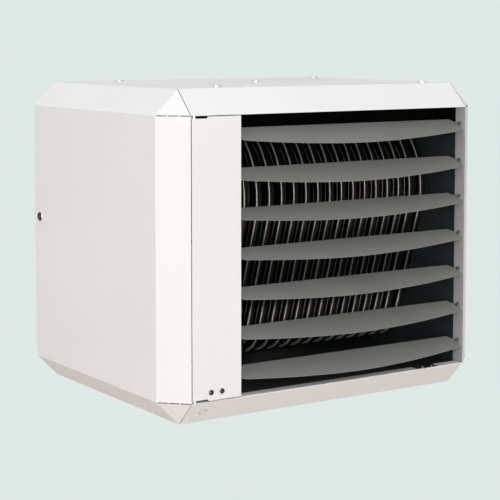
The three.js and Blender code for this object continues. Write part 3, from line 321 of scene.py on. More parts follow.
class Net:
    """Nodes of one tree: each call adds a node and gives it values or the outputs that feed it."""

    def __init__(self, tree):
        self.tree = tree

    def add(self, kind, sockets=(), **settings):
        node = self.tree.nodes.new(kind)
        for key, value in settings.items():
            setattr(node, key, value)
        for key, value in dict(sockets).items():
            self.feed(node.inputs[key], value)
        return node

    def feed(self, socket, value):
        if isinstance(value, bpy.types.NodeSocket):
            self.tree.links.new(value, socket)
        else:
            socket.default_value = value

    def mix(self, factor, a, b):
        return self.add("ShaderNodeMix", {0: factor, 6: a, 7: b}, data_type="RGBA").outputs[2]

    def math(self, operation, a, b, clamp=False):
        return self.add("ShaderNodeMath", {0: a, 1: b}, operation=operation, use_clamp=clamp).outputs[0]

    def group(self, tree, **sockets):
        return self.add("ShaderNodeGroup", sockets, node_tree=tree).outputs

    def between(self, value, low, high, to_low=0.0, to_high=1.0):
        sockets = {"Value": value, "From Min": low, "From Max": high, "To Min": to_low, "To Max": to_high}
        return self.add("ShaderNodeMapRange", sockets).outputs["Result"]

    def ramp(self, place, stops):
        node = self.add("ShaderNodeValToRGB", {"Fac": place})
        bands = node.color_ramp.elements
        bands.remove(bands[-1])
        bands[0].position, bands[0].color = stops[0]
        for position, colour in stops[1:]:
            bands.new(position).color = colour
        return node.outputs["Color"]

    def place(self):
        return self.add("ShaderNodeTexCoord").outputs["Object"]

    def level(self, vector):
        return self.add("ShaderNodeSeparateXYZ", {"Vector": vector}).outputs["Z"]

    def noise(self, where, scale, detail=2.0, roughness=0.5):
        sockets = {"Vector": where, "Scale": scale, "Detail": detail, "Roughness": roughness}
        return self.add("ShaderNodeTexNoise", sockets).outputs["Fac"]


FLOAT = "NodeSocketFloat"


def new_group(name, inputs, outputs):
    """An empty shader group with named inputs and outputs; gives its net and both sets of sockets too."""
    group = bpy.data.node_groups.new(name, "ShaderNodeTree")
    for socket, kind, value in inputs:
        group.interface.new_socket(socket, in_out="INPUT", socket_type=kind).default_value = value
    for socket, kind in outputs:
        group.interface.new_socket(socket, in_out="OUTPUT", socket_type=kind)
    net = Net(group)
    return group, net, net.add("NodeGroupInput").outputs, net.add("NodeGroupOutput").inputs


def grain_group():
    """Orange peel of a coat or the skin of a casting: fine height, and a slow shade across the piece."""
    inputs = [("Scale", FLOAT, 700.0), ("Spread", FLOAT, 5.0)]
    outputs = [("Height", FLOAT), ("Shade", FLOAT)]
    group, net, given, out = new_group("coat_grain", inputs, outputs)
    where = net.place()
    fine = net.noise(where, given["Scale"], 2.0, 0.55)
    slow = net.noise(where, given["Spread"], 3.0, 0.6)
    net.feed(out["Height"], net.between(fine, 0.25, 0.75))
    net.feed(out["Shade"], net.between(slow, 0.3, 0.7))
    return group


def brushed_group():
    """Drawn or rolled metal: noise stretched along one axis, as lines and as a slow shade."""
    inputs = [("Stretch", "NodeSocketVector", (30.0, 900.0, 900.0)), ("Spread", FLOAT, 6.0)]
    outputs = [("Height", FLOAT), ("Shade", FLOAT)]
    group, net, given, out = new_group("brushed_lines", inputs, outputs)
    where = net.place()
    stretched = net.add("ShaderNodeMapping", {"Vector": where, "Scale": given["Stretch"]})
    lines = net.noise(stretched.outputs["Vector"], 1.0, 3.0, 0.6)
    slow = net.noise(where, given["Spread"], 2.0)
    net.feed(out["Height"], net.between(lines, 0.3, 0.7))
    lines_share, slow_share = net.math("MULTIPLY", lines, 0.6), net.math("MULTIPLY", slow, 0.4)
    net.feed(out["Shade"], net.math("ADD", lines_share, slow_share))
    return group


def dust_group():
    """Fine dust that lies on what faces up, broken up by noise."""
    inputs = [("Amount", FLOAT, 0.3)]
    group, net, given, out = new_group("settled_dust", inputs, [("Mask", FLOAT)])
    where = net.place()
    up = net.level(net.add("ShaderNodeNewGeometry").outputs["Normal"])
    patches = net.between(net.noise(where, 14.0, 4.0, 0.65), 0.35, 0.75)
    facing = net.between(up, 0.3, 1.0)
    net.feed(out["Mask"], net.math("MULTIPLY", net.math("MULTIPLY", facing, patches), given["Amount"]))
    return group


def heat_group():
    """Heat tint of stainless steel: from straw through brown to blue-grey, by height and noise."""
    inputs = [("Low", FLOAT, -0.45), ("High", FLOAT, -0.1)]
    group, net, given, out = new_group("heat_tint", inputs, [("Colour", "NodeSocketColor")])
    where = net.place()
    rise = net.between(net.level(where), given["Low"], given["High"])
    wander = net.math("SUBTRACT", net.noise(where, 9.0, 3.0), 0.5)
    place = net.math("ADD", rise, net.math("MULTIPLY", wander, 0.5), clamp=True)
    straw, brown, blue_grey = (0.62, 0.60, 0.57, 1), (0.56, 0.51, 0.45, 1), (0.44, 0.45, 0.48, 1)
    net.feed(out["Colour"], net.ramp(place, ((0.0, straw), (0.45, brown), (1.0, blue_grey))))
    return group


def row_light_group():
    """Painted light and shade on the tubes by height: 0 is black, 1 is bare steel, as straight ramps between
    the levels.
    """
    # painted shade on the dim legs and shoulders; painted reflections in the bright band at the legs' foot
    # and on the hooks
    hooks, collector = ((-560, 0.5), (-500, 0.8)), ((-455, 0.5), (-446, 1), (-430, 1))
    legs, shoulders = ((-414, 0.22), (-290, 0.22)), ((-262, 0.6), (-190, 0.5), (-140, 0.38))
    lowest = hooks[0][0]
    inputs = [("Low", FLOAT, lowest * MM)]
    group, net, given, out = new_group("painted_row_light", inputs, [("Mask", FLOAT)])
    height = net.level(net.place())
    levels = hooks + collector + legs + shoulders
    stops = [(1 - level / lowest, (lit_share, lit_share, lit_share, 1)) for level, lit_share in levels]
    net.feed(out["Mask"], net.ramp(net.between(height, given["Low"], 0), stops))
    return group


GRAIN, BRUSHED, DUST, HEAT, ROW_LIGHT_MASK = (
    build() for build in (grain_group, brushed_group, dust_group, heat_group, row_light_group)
)
DUST_COLOUR = (0.42, 0.40, 0.37, 1)
# black that the tubes' painted shade is drawn to
PAINTED_SHADE_BLACK = (0, 0, 0, 1)


# -------------------- materials


def new_material(name):
    """A material with its net and its Principled shader."""
    material = bpy.data.materials.new(name)
    material.use_nodes = True
    return material, Net(material.node_tree), material.node_tree.nodes["Principled BSDF"]


def finish(
    name, colour, roughness, metallic=0.0, specular=0.5, grain=None, brushed=None,
    depth=0.00002, vary=0.04, dust=0.0, heat=0.0, painted_row_light=False, drawn=0.0,
):
    """A finish whose colour and roughness wander a little and whose bump is grain or brushed lines.
    Grain is the scale of the noise, brushed the stretch of the lines, depth the bump's height in metres.
    Drawn metal stretches its highlights along the attribute run."""
    material, net, shader = new_material(name)
    skin = net.group(BRUSHED, Stretch=brushed) if brushed else net.group(GRAIN, Scale=grain)
    shade = skin["Shade"]
    dark = (*(c * (1 - vary) for c in colour), 1)
    light = (*(min(c * (1 + vary), 1) for c in colour), 1)
    base = net.mix(shade, dark, light)
    if heat:
        base = net.mix(heat, base, net.group(HEAT)["Colour"])
    if dust:
        base = net.mix(net.group(DUST, Amount=dust)["Mask"], base, DUST_COLOUR)
    # painted light and shade on the tubes: their colour is drawn to black by height
    if painted_row_light:
        base = net.mix(net.group(ROW_LIGHT_MASK)["Mask"], PAINTED_SHADE_BLACK, base)
    net.feed(shader.inputs["Base Color"], base)
    smoother, rougher = roughness * 0.88, min(roughness * 1.12, 1)
    net.feed(shader.inputs["Roughness"], net.between(shade, 0, 1, smoother, rougher))
    shader.inputs["Metallic"].default_value = metallic
    shader.inputs["Specular IOR Level"].default_value = specular
    bump = net.add("ShaderNodeBump", {"Height": skin["Height"], "Strength": 1.0, "Distance": depth})
    net.feed(shader.inputs["Normal"], bump.outputs["Normal"])
    if drawn:
        shader.inputs["Anisotropic"].default_value = drawn
        run = net.add("ShaderNodeAttribute", attribute_name="run", attribute_type="GEOMETRY")
        net.feed(shader.inputs["Tangent"], run.outputs["Vector"])
    return material


COAT_GRAIN = 0.00003
PLATING = 0.00001
WHITE_COAT = finish(
    "white_powder_coat", (0.864, 0.87, 0.876), 0.6, specular=0.15, grain=650, depth=COAT_GRAIN, vary=0.012
)
LOUVRE_COAT = finish(
    "louvre_grey_coat", (0.238, 0.237, 0.232), 0.48, grain=800, depth=COAT_GRAIN, vary=0.05, dust=0.08
)
RAIL_COAT = finish("rail_grey_coat", (0.45, 0.446, 0.436), 0.5, grain=800, depth=COAT_GRAIN, vary=0.04)
DUCT_SHEET = finish(
    "dark_duct_sheet", (0.024, 0.035, 0.038), 0.5, 0.5, brushed=(25.0, 700.0, 500.0), vary=0.2, dust=0.025
)
# flat black for painted shade in the outlet: above the top louvre, at the top of the right wall and at the
# louvres' pivots
SHADE_SHEET = finish("painted_shade_sheet", (0.004, 0.004, 0.004), 0.8, specular=0.0, grain=300, vary=0.2)
# drawn tube steel; its colour carries painted light and shade by height
DRAWN_TUBE = {"metallic": 1.0, "grain": 90, "depth": 0.000004, "vary": 0.2, "drawn": 0.9, "painted_row_light": True}
# the inner rank's steel is a darker copy of the outer rank's: painted shade, as it lies behind the outer
# tubes
INNER_SHADED_STEEL = finish("shaded_inner_tube_steel", (0.028, 0.026, 0.024), 0.42, **DRAWN_TUBE)
TUBE_STEEL = finish("dark_tube_steel", (0.08, 0.076, 0.071), 0.42, **DRAWN_TUBE)
DRUM_STEEL = finish(
    "heat_tinted_steel", (0.5, 0.48, 0.45), 0.25, 1.0,
    brushed=(900.0, 60.0, 60.0), depth=PLATING, vary=0.12, heat=0.75,
)
ZINC = finish(
    "zinc_plate", (0.66, 0.68, 0.69), 0.34, 0.95, brushed=(300.0, 300.0, 300.0), depth=PLATING, vary=0.08
)
BRIGHT_NUT = finish("bright_plate", (0.93, 0.93, 0.92), 0.3, 0.6, grain=900, depth=PLATING, vary=0.03)
CAST = finish("cast_aluminium", (0.46, 0.47, 0.48), 0.5, 0.85, grain=420, depth=0.00012, vary=0.1, dust=0.15)
BLACK = finish("black_moulding", (0.012, 0.012, 0.013), 0.38, grain=600, depth=0.00004, vary=0.25, dust=0.06)
WIRE = finish("black_wire_coat", (0.014, 0.014, 0.015), 0.38, grain=900, vary=0.2, dust=0.1)
GREY_BOX = finish("grey_moulding", (0.27, 0.28, 0.29), 0.55, grain=500, depth=0.00005, vary=0.05, dust=0.1)
BOARD = finish("green_lacquer", (0.02, 0.09, 0.045), 0.4, grain=500, vary=0.1)
BRASS = finish("plain_brass", (0.52, 0.38, 0.16), 0.32, 0.95, brushed=(700.0, 60.0, 700.0), vary=0.12)
CERAMIC = finish("glazed_ceramic", (0.8, 0.77, 0.7), 0.25, grain=300, depth=PLATING, vary=0.03)


# -------------------- sheet metal


MERGE_DISTANCE = 0.00001  # in metres
FLAT_ANGLE, FOLD_ANGLE = math.radians(0.5), math.radians(30)


def dress(nodes, material, fold):
    """Gives CAD nodes their material. Their triangles merge to flats, and the folds get a radius of fold."""
    for node in nodes:
        body = frame["nodes"][node]
        body.data.materials.clear()
        body.data.materials.append(material)
        weld = body.modifiers.new("weld", "WELD")
        weld.merge_threshold = MERGE_DISTANCE
        merge = body.modifiers.new("flats", "DECIMATE")
        merge.decimate_type = "DISSOLVE"
        merge.angle_limit = FLAT_ANGLE
        bevel = body.modifiers.new("fold", "BEVEL")
        bevel.width = fold * MM
        bevel.segments = 2
        bevel.limit_method = "ANGLE"
        bevel.angle_limit = FOLD_ANGLE
        bevel.harden_normals = True
        even = body.modifiers.new("flat_shading", "WEIGHTED_NORMAL")
        even.weight = 100
        even.keep_sharp = False


def middle_of(node):
    """Middle of a node's box, in millimetres."""
    low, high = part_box(node)
    return (np.array(low) + np.array(high)) / 2 / MM


def fold_slits():
    """Slits along the corner triangles' folds: flat ovals of painted shade let into the sheet, three to a
    fold.
    """
    step = (CHAMFER * math.sqrt(2) - SLIT_BRIDGE) / SLIT_COUNT
    reach = (step - 2) / 2
    oval = rounded_rectangle((-reach, -SLIT_WIDTH / 2), (reach, SLIT_WIDTH / 2), 0.8)
    for hand, body, name in ((-1, "door", "door_slit_shade"), (1, "casing", "cover_slit_shade")):
        along = np.array([hand, 1, 0]) / math.sqrt(2)
        out = np.array([hand, -1, 0]) / math.sqrt(2)
        shells = []
        for level in (-CHAMFER, BOTTOM + CHAMFER):
            corner = np.array([hand * (HALF_WIDTH - CHAMFER), FRONT, level])
            for i in range(SLIT_COUNT):
                middle = corner + (SLIT_BRIDGE / 2 + (i + 0.5) * step) * along
                rim = middle + oval[:, :1] * along + oval[:, 1:] * Z
                shells.append(loft([rim - 0.8 * out, rim + 0.06 * out]))
        # the black ovals are painted shade inside the slits
        as_node(name, [(BLACK, shells)], body=body)


def lip_hem():
    """Rolled hem along the front edge of the lower lip."""
    start, end = OUTLET
    edge = (0, FRONT + 1.0, BOTTOM + CHAMFER - 0.8)
    hem = turned([(HEM_RADIUS, start + 1), (HEM_RADIUS, end - 1)], X, edge, 20)
    as_node("lip_hem", [(WHITE_COAT, [hem])])


def knock_out():
    """A grey ring of painted shade in the pressed groove round the knock-out, leaned to lie in the lower
    chamfer.
    """
    inner, outer = KNOCK_OUT_RADIUS - KNOCK_OUT_GROOVE / 2, KNOCK_OUT_RADIUS + KNOCK_OUT_GROOVE / 2
    # a grey ring just proud of the chamfer: painted shade in the groove
    ring = [(inner, -0.3), (outer, -0.3), (outer, 0.04), (inner, 0.04)]
    points, faces = turned(ring, Y, (0, 0, 0), 40, "joined")
    cos = math.sqrt(0.5)
    lean = np.array([[1, 0, 0], [0, -cos, -cos], [0, -cos, cos]])
    middle = (KNOCK_OUT_X, FRONT + CHAMFER / 2, BOTTOM + CHAMFER / 2)
    as_node("knock_out_groove_shade", [(GREY_BOX, [(points @ lean.T + middle, faces)])])


# -------------------- louvres


def louvre_outline(half):
    """Edges over x: the front is -(tip + bow) + (bow - step) |x / h|^power, then shoulders to the tips.
    The rear is straight, with its corners cut at 45 degrees."""
    bow_half, straight = half - BLADE_SHOULDER, half - BLADE_CORNER
    corner = np.linspace(straight, half, 9)
    x = np.concatenate([-corner[:0:-1], np.linspace(-straight, straight, 41), corner[1:]])
    across = np.minimum(np.abs(x) / bow_half, 1)
    bow_front = (BLADE_BOW - BLADE_STEP) * across**BOW_POWER - BLADE_TIP - BLADE_BOW
    share = np.clip((np.abs(x) - bow_half) / BLADE_SHOULDER, 0, 1)
    front = bow_front * (1 - share) - BLADE_TIP * share
    rear = BLADE_REAR - np.clip(np.abs(x) - straight, 0, None)
    return x, front, rear


def louvre_shells(half):
    """The blade with its two turned-up ears, and the two pins, about the pivot.
    The blade is a skin round eight lines (x, y, z) from ear to ear, y from the rear to the front edge."""
    x, front, rear = louvre_outline(half)
    lip = 0.5 * SHEET
    under, over = -PIVOT_RISE - SHEET, -PIVOT_RISE
    back = [(rear, under + 0.2 * lip), (rear, over - 0.2 * lip), (rear - lip, over), (front + lip, over)]
    edge = [(front, over - 0.5 * lip), (front, under + 0.5 * lip), (front + lip, under), (rear - lip, under)]
    across = back + edge
    blade = [loft(np.stack([np.stack([x, y, np.full_like(x, z)], -1) for y, z in across], 1))]
    ear = softened([(-9, under), (-6, 2), (-3, 4), (3, 4), (4, 3), (4, under)], 1.2, 4)
    pins = []
    for hand in (-1, 1):
        inside, outside = hand * (half - SHEET), hand * half
        blade.append(extruded(ear, "x", *sorted((inside, outside))))
        low, high = sorted((inside, outside + hand * PIN_REACH))
        profile = [(PIVOT_RADIUS, low), (PIVOT_RADIUS, high - 0.4), (PIVOT_RADIUS - 0.4, high)]
        pins.append(turned(profile, X, (0, 0, 0), 20))
    return blade, pins


def louvres():
    """Each louvre, tilted about X and moved to its joint's pivot, and a bushing in each rail for its pins."""
    half = (OUTLET[1] - OUTLET[0]) / 2 - BLADE_GAP
    flange = [(2.8, -1.1), (4.2, -1.1), (4.7, -0.7), (4.7, 0), (3.1, 0), (3.1, 2.2), (2.8, 2.2)]
    bushings = []
    for joint in (joint for joint in frame["joints"] if joint["child"].startswith("louvre_")):
        body = joint["child"]
        angle = LOUVRE_TILTS[int(body.removeprefix("louvre_")) - 1]
        cos, sin = math.cos(angle), math.sin(angle)
        tilt = np.array([[1, 0, 0], [0, cos, -sin], [0, sin, cos]])
        _, y, z = np.array(joint["pos_m"]) / MM
        pivot = (sum(OUTLET) / 2, y, z)
        blade, pins = (
            [(points @ tilt.T + pivot, faces) for points, faces in shells] for shells in louvre_shells(half)
        )
        # the pins are painted shade, black like the dark pivot holes round them
        as_node(f"{body}_blade", [(LOUVRE_COAT, blade), (SHADE_SHEET, pins)], [body], body, sharp=25)
        for hand, side in zip((-1, 1), OUTLET):
            centre = (side + hand * SEAT, y, z)
            bushings.append(turned([(r, hand * a) for r, a in flange], X, centre, 28, "joined"))
    # the bushings are painted shade, black for the dark pivot holes in the rails
    as_node("pivot_bushings", [(SHADE_SHEET, bushings)])


# -------------------- heat exchanger


def tube_path(loop, bend, start, end):
    """Centreline in (y, z): out of the header, an arc round the drum, a leaning leg, a lower bend, up."""
    _, drum_y, drum_z = DRUM_AXIS
    bow = arc((drum_y, drum_z), loop, 90, 180 + math.degrees(RANK_LEAN), 22)
    leg_y, leg_z = bow[-1]
    leg = (leg_z + bend * math.sin(RANK_LEAN) - BEND_LEVEL) / math.cos(RANK_LEAN)
    centre = (leg_y + leg * math.sin(RANK_LEAN) + bend * math.cos(RANK_LEAN), BEND_LEVEL)
    hook = arc(centre, bend, 180 + math.degrees(RANK_LEAN), 360, 22)
    leg_points = np.linspace(bow[-1], hook[0], 8)[1:-1]
    return np.concatenate([[(start, drum_z + loop)], bow, leg_points, hook, [(centre[0] + bend, end)]])


def tube_rank(xs, loop, bend, start, end):
    """One tube for each x: the same flat path, moved along X."""
    flat = tube_path(loop, bend, start, end)
    return [bar(np.column_stack([np.full(len(flat), x), flat]), TUBE_RADIUS, X, 20) for x in xs]


def weld_rings(xs, y, z, axis):
    """A bead of weld round each tube where it meets its box."""
    bead = circle(WELD_BEAD, 8) + (TUBE_RADIUS + 0.4, 0)
    return [turned(bead, axis, (x, y, z), 20, "joined") for x in xs]


def exchanger():
    """The header with the outer rank of tubes, and the collector with the inner rank half a pitch aside."""
    outer_xs = LAST_TUBE - TUBE_PITCH * np.arange(TUBE_COUNT)
    shells = [rounded_box(HEADER_X, HEADER_Y, HEADER_Z, 3)]
    shells += tube_rank(outer_xs, OUTER_LOOP, OUTER_BEND, HEADER_Y[0] + 1, COLLECTOR_Z[0] - SEAT)
    shells += weld_rings(outer_xs, HEADER_Y[0], DRUM_AXIS[2] + OUTER_LOOP, Y)
    casing_part("outer_tubes", TUBE_STEEL, shells, "exchanger_outer_bank")

    inner_xs = outer_xs[1:] + TUBE_PITCH / 2
    riser_y, _ = tube_path(INNER_LOOP, INNER_BEND, 0, 0)[-1]
    shells = [rounded_box(HEADER_X, COLLECTOR_Y, COLLECTOR_Z, 3)]
    shells += tube_rank(inner_xs, INNER_LOOP, INNER_BEND, HEADER_Y[0] - SEAT, COLLECTOR_Z[0] + 1)
    shells += weld_rings(inner_xs, riser_y, COLLECTOR_Z[0], Z)
    casing_part("inner_tubes", INNER_SHADED_STEEL, shells, "exchanger_inner_bank")


def apron_outline():
    """A strip (y, z): back along the top, down the front round a bend, out along a short toe, and inside."""
    y, top, end = APRON_Y, APRON_TOP, APRON_END
    outer = [(y - 3, end), (y, end + 3), *arc((y + 4, top - 4), 4, 180, 90, 6), (y + 24, top)]
    inner = [(y + 22, top - 1), (y + 4, top - SHEET), (y + SHEET, top - 4), (y + SHEET, end + 3.5)]
    return np.array([*outer, *inner, (y - 2, end - 0.6)])


def shield_apron():
    """Front fold of the heat shield before the tops of the tubes, and its return at the side, both black as
    painted shade.
    """
    start, end = OUTLET
    fold = extruded(apron_outline(), "x", start + 1.5, end + 1.5)
    side_y, side_z = (APRON_Y - 61, APRON_Y - 1), (APRON_TOP - 52, APRON_TOP - 4)
    side = rounded_box((end - 1.1, end - 0.3), side_y, side_z, 0.3)
    # painted shade: the black fold and side plate darken the view above the top louvre and the top of the
    # right wall
    as_node("shield_fold_shade", [(SHADE_SHEET, [fold, side])])


def drum_outline():
    """Profile (r, x): rim, two rolled beads, a dish (R cos^0.85 t, D sin t), then its inside."""
    start, end = DRUM_X
    inside = DRUM_RADIUS - DRUM_WALL
    t, swell = np.linspace(0, math.pi / 2, 14), np.linspace(-1, 1, 9)
    out, over = np.cos(t) ** 0.85, DRUM_DISH * np.sin(t)
    dish = np.stack([out * DRUM_RADIUS, end - DRUM_DISH + over], -1)
    inner = np.stack([out * inside, end - DRUM_DISH - DRUM_WALL + over], -1)
    beads = []
    for place in (start + 130, end - 110):
        beads += list(zip(DRUM_RADIUS + 1.6 * np.cos(swell * math.pi / 2), place + 6 * swell))
    profile = [(94, start), (94, start + 3), (DRUM_RADIUS, start + 3), *beads, *dish, *inner[::-1]]
    return [*profile, (inside, start + 3), (73, start + 3), (73, start)]


def drum():
    """Thin combustion drum, dished at its far end, with the neck that leads up into the header."""
    neck = rounded_rectangle((DRUM_X[1] - 64, 18), (DRUM_X[1], 62), 4)
    shells = [turned(drum_outline(), X, DRUM_AXIS, 72, "joined")]
    shells.append(extruded(neck, "z", -150, HEADER_Z[0] - SEAT))
    casing_part("burner_drum", DRUM_STEEL, shells, "combustion_drum")


# -------------------- burner and its compartment


def burner_cylinder():
    """Closed cylinder on its foot, inside the drum."""
    _, y, z = DRUM_AXIS
    profile = [(26, 0), (48, 0), (48, 5), (36, 6), (34, 8), (34, 170)]
    profile += [(33, 172), (0, 172), (0, 169), (31, 169), (31, 8), (26, 6)]
    shells = [turned(profile, X, (DIVIDER_FACE + SEAT, y, z), 48, "joined")]
    casing_part("burner_cylinder", DRUM_STEEL, shells, "burner_head")


def burner_plate():
    """Round plate that carries the burner on the compartment's side of the wall, with its eight bolts."""
    profile = [(22, DIVIDER_FACE), (100, DIVIDER_FACE), (100, PLATE_FACE + 0.5)]
    profile += [(99.5, PLATE_FACE), (22, PLATE_FACE)]
    plate = [turned(profile, X, DRUM_AXIS, 72, "joined")]
    plate += bolt_circle(DRUM_AXIS, 91, 8, X, PLATE_FACE, -1, 5, 4, 22.5)
    casing_part("burner_plate", ZINC, plate, "burner_flange")


def electrode():
    """Ignition electrode: contact, ribbed insulator and rod, out of the plate on both sides."""
    ribs = [(5.5 - 0.8 * (i % 2), -24 + i * 3.0) for i in range(8)]
    profile = [(0, -34), (2, -34), (2, -26), *ribs, (5.5, -SEAT), (3, -SEAT)]
    profile += [(3, 10), (1.5, 10), (1.5, 46), (0, 46)]
    rod = turned(profile, X, (PLATE_FACE, *ELECTRODE), 24)
    casing_part("electrode_rod", CERAMIC, [rod], "ignition_electrode")


def elbow_outline(face):
    """Seen from above (x, y): mouth at the plate, inner bend, foot at the blower, outer bend."""
    mouth, foot = [(face, -35), (face, 30)], [(-236.6, 58), (-290, 58)]
    return [*mouth, (-228.6, 30), (-236.6, 52), *foot, (-290, -1), (-278, -23), (-256, -35)]


def elbow():
    """Cast elbow that leads the mixture to the burner plate, with its flange and four studs."""
    low, high = ELBOW_Z
    face = PLATE_FACE - SEAT
    shells = [extruded(softened(elbow_outline(face), 9), "z", low, high, 5)]
    shells.append(rounded_box((face - 5, face), (-43, 38), (low - 8, high + 8), 5))
    stud = [(4.4, face - 5), (4.4, face - 8), (3.6, face - 8.8)]
    shells += [turned(stud, X, (0, y, z), 24) for y in (-38, 33) for z in (low - 3, high + 3)]
    casing_part("cast_elbow", CAST, shells, "mixing_elbow")


def blower():
    """Scroll whose radius falls evenly round the axis from its mouth at the elbow, with a seam and a ring."""
    _, y, z = BLOWER_AXIS
    start, end = BLOWER_X
    turn = np.radians(np.linspace(90, -210, 61))
    radius = np.linspace(60, 42, 61)
    scroll = np.stack([y + radius * np.cos(turn), z - radius * np.sin(turn)], -1)
    outline = np.concatenate([[(BLOWER_MOUTH, level) for level in ELBOW_Z[::-1]], scroll])
    seam = np.array([y, z]) + (outline - (y, z)) * 1.045
    seam[:2, 0] = BLOWER_MOUTH
    middle = (start + end) / 2
    shells = [extruded(outline, "x", start, end, 4), extruded(seam, "x", middle - 1.5, middle + 1.5, 0.4)]
    shells.append(turned(circle(3, 12) + (30, end + 0.5), X, BLOWER_AXIS, 48, "joined"))
    casing_part("blower_scroll", CAST, shells, "blower_housing")


def blower_motor():
    """Ribbed black can on the scroll's outer face."""
    _, y, z = BLOWER_AXIS
    ribs = [(36 - 1.6 * (i % 2), -34 + 2.2 * i) for i in range(13)]
    profile = [(0, -42), (28, -42), (34, -39.5), (36, -36), *ribs, (36, -6), (40, -4), (40, -SEAT)]
    can = turned([*profile, (0, -SEAT)], X, (BLOWER_X[0], y, z), 56)
    casing_part("blower_motor_case", BLACK, [can], "blower_motor")


def gas_valve():
    """Cast valve body with its cover, inlet hexagon, outlet boss, four screws, and the coil below."""
    x, _, z = GAS_AXIS
    face = -62.0  # towards the front
    shells = [
        rounded_box((x - 30, x + 30), (face, 14), (z - 28, z + 28), 5),
        rounded_box((x - 22, x + 22), (face + 6, -6), (z + 27, z + VALVE_RISE), 3),
        turned([(16, 13), (16, 21), (15, 22)], Y, GAS_AXIS, 36, hexagon=(0, 1)),
        turned([(7.5, 36), (7.5, 37.4), (6.5, VALVE_RISE)], Z, (x, 4, z), 28),
    ]
    screw = [(3, 37), (3, 38.6), (2.2, 39.2)]
    shells += [turned(screw, Z, (x + side, y, z), 18) for side in (-17, 17) for y in (face + 11, -11)]
    coil = turned([(11.5, -54), (13, -52.5), (13, -30), (12, -29), (12, -27)], Z, (x, -40, z), 40)
    coil_nut = turned([(5, -57), (5, -54)], Z, (x, -40, z), 24)
    groups = [(CAST, shells), (BLACK, [coil, coil_nut])]
    as_node("valve_block", groups, ["gas_valve"])


def gas_pipe():
    """Brass pipe from the valve out through the rear panel, with collar, hexagon, thread and union nut."""
    thread = [(10 - 0.5 * (i % 2), REAR + 13 + 1.1 * i) for i in range(11)]
    profile = [(7, 22.3), (10, 22.3), (10, REAR + SEAT), (19, REAR + SEAT), (19, REAR + 10.5)]
    profile += [(17, REAR + 12), (10, REAR + 12), *thread, (9.2, REAR + 26), (7, REAR + 26)]
    supply = turned(profile, Y, GAS_AXIS, 48, "joined", hexagon=(3, 4))
    profile = [(10.2, 24), (15, 24), (15, 35), (13.5, 36), (10.2, 36)]
    union = turned(profile, Y, GAS_AXIS, 36, "joined", hexagon=(1, 2))
    casing_part("supply_pipe", BRASS, [supply, union], "gas_pipe")


def injector_pipe():
    """Upright brass pipe with a hexagon at each end, from the valve up to the elbow."""
    x, _, z = GAS_AXIS
    low, high = z + VALVE_RISE + SEAT, ELBOW_Z[0] - SEAT
    profile = [(0, low), (9, low), (9, low + 9), (8, low + 10), (5, low + 10), (5, high - 10)]
    profile += [(8, high - 10), (9, high - 9), (9, high), (0, high)]
    injector = turned(profile, Z, (x + 4, -24, 0), 36, hexagon=(1, 2, 7, 8))
    casing_part("injector_tube", BRASS, [injector], "injector_pipe")


def board():
    """Circuit board on its posts in the control box, with three relays and a transformer."""
    y, z = CONTROL_Y, CONTROL_Z
    face = DIVIDER_FACE - 12
    sheet = rounded_box((face - 2, face), (y[0] + 6, y[1] - 6), (z[0] + 8, z[1] - 8), 0.8)
    post = [(3, face - 0.5), (3, DIVIDER_FACE - 2 - SEAT)]
    corners = [(at, level) for at in (y[0] + 14, y[1] - 14) for level in (z[0] + 18, z[1] - 18)]
    posts = [turned(post, X, (0, *corner), 18) for corner in corners]
    relays = [
        rounded_box((face - 20, face - 1), (y[0] + 22, y[0] + 50), (base, base + 32), 1.5)
        for base in z[0] + 30 + 46 * np.arange(3)
    ]
    transformer = rounded_box((face - 30, face - 1), (y[1] - 48, y[1] - 16), (z[0] + 110, z[0] + 160), 1.5)
    groups = [(BOARD, [sheet]), (BRASS, posts), (BLACK, [*relays, transformer])]
    as_node("board_assembly", groups, ["control_board"])


def clamp_row():
    """Six clamps with two brass screws each, in a row on their rail below the control box."""
    top, outer = CONTROL_Z[0] - 22, DIVIDER_FACE - 30
    rail = rounded_box((DIVIDER_FACE - 8, DIVIDER_FACE), CONTROL_Y, (top - 32, top - 4), 1)
    clamps, screws = [rail], []
    screw = [(3.4, outer + 0.4), (3.4, outer - 0.5), (2.8, outer - 0.9)]
    for start in CONTROL_Y[0] + 4 + 17 * np.arange(6):
        clamps.append(rounded_box((outer, DIVIDER_FACE - 7), (start, start + 15), (top - 36, top), 1.6))
        screws += [turned(screw, X, (0, start + 7.5, level), 20) for level in (top - 9, top - 27)]
    as_node("clamp_row", [(GREY_BOX, clamps), (BRASS, screws)], ["terminal_strip"])


def flue():
    """Flue pipe from the collector through a quarter bend to the rear panel, with a joint ring."""
    flue_y = sum(COLLECTOR_Y) / 2
    bend = arc((SPIGOT_X + 48, flue_y + 48), 48, 270, 180, 18)
    run = np.linspace(bend[-1], (SPIGOT_X, REAR - 1.5), 5)[1:]
    outline = np.concatenate([[(HEADER_X[0] - SEAT, flue_y)], bend, run])
    path = np.column_stack([outline, np.full(len(outline), FLUE_LEVEL)])
    joint = turned(circle(2, 10) + (38, 120), Y, (SPIGOT_X, 0, FLUE_LEVEL), 56, "joined")
    shells = [pipe(path, 38, 1.5, Z, 56), joint]
    casing_part("flue_tube", DRUM_STEEL, shells, "flue_pipe")


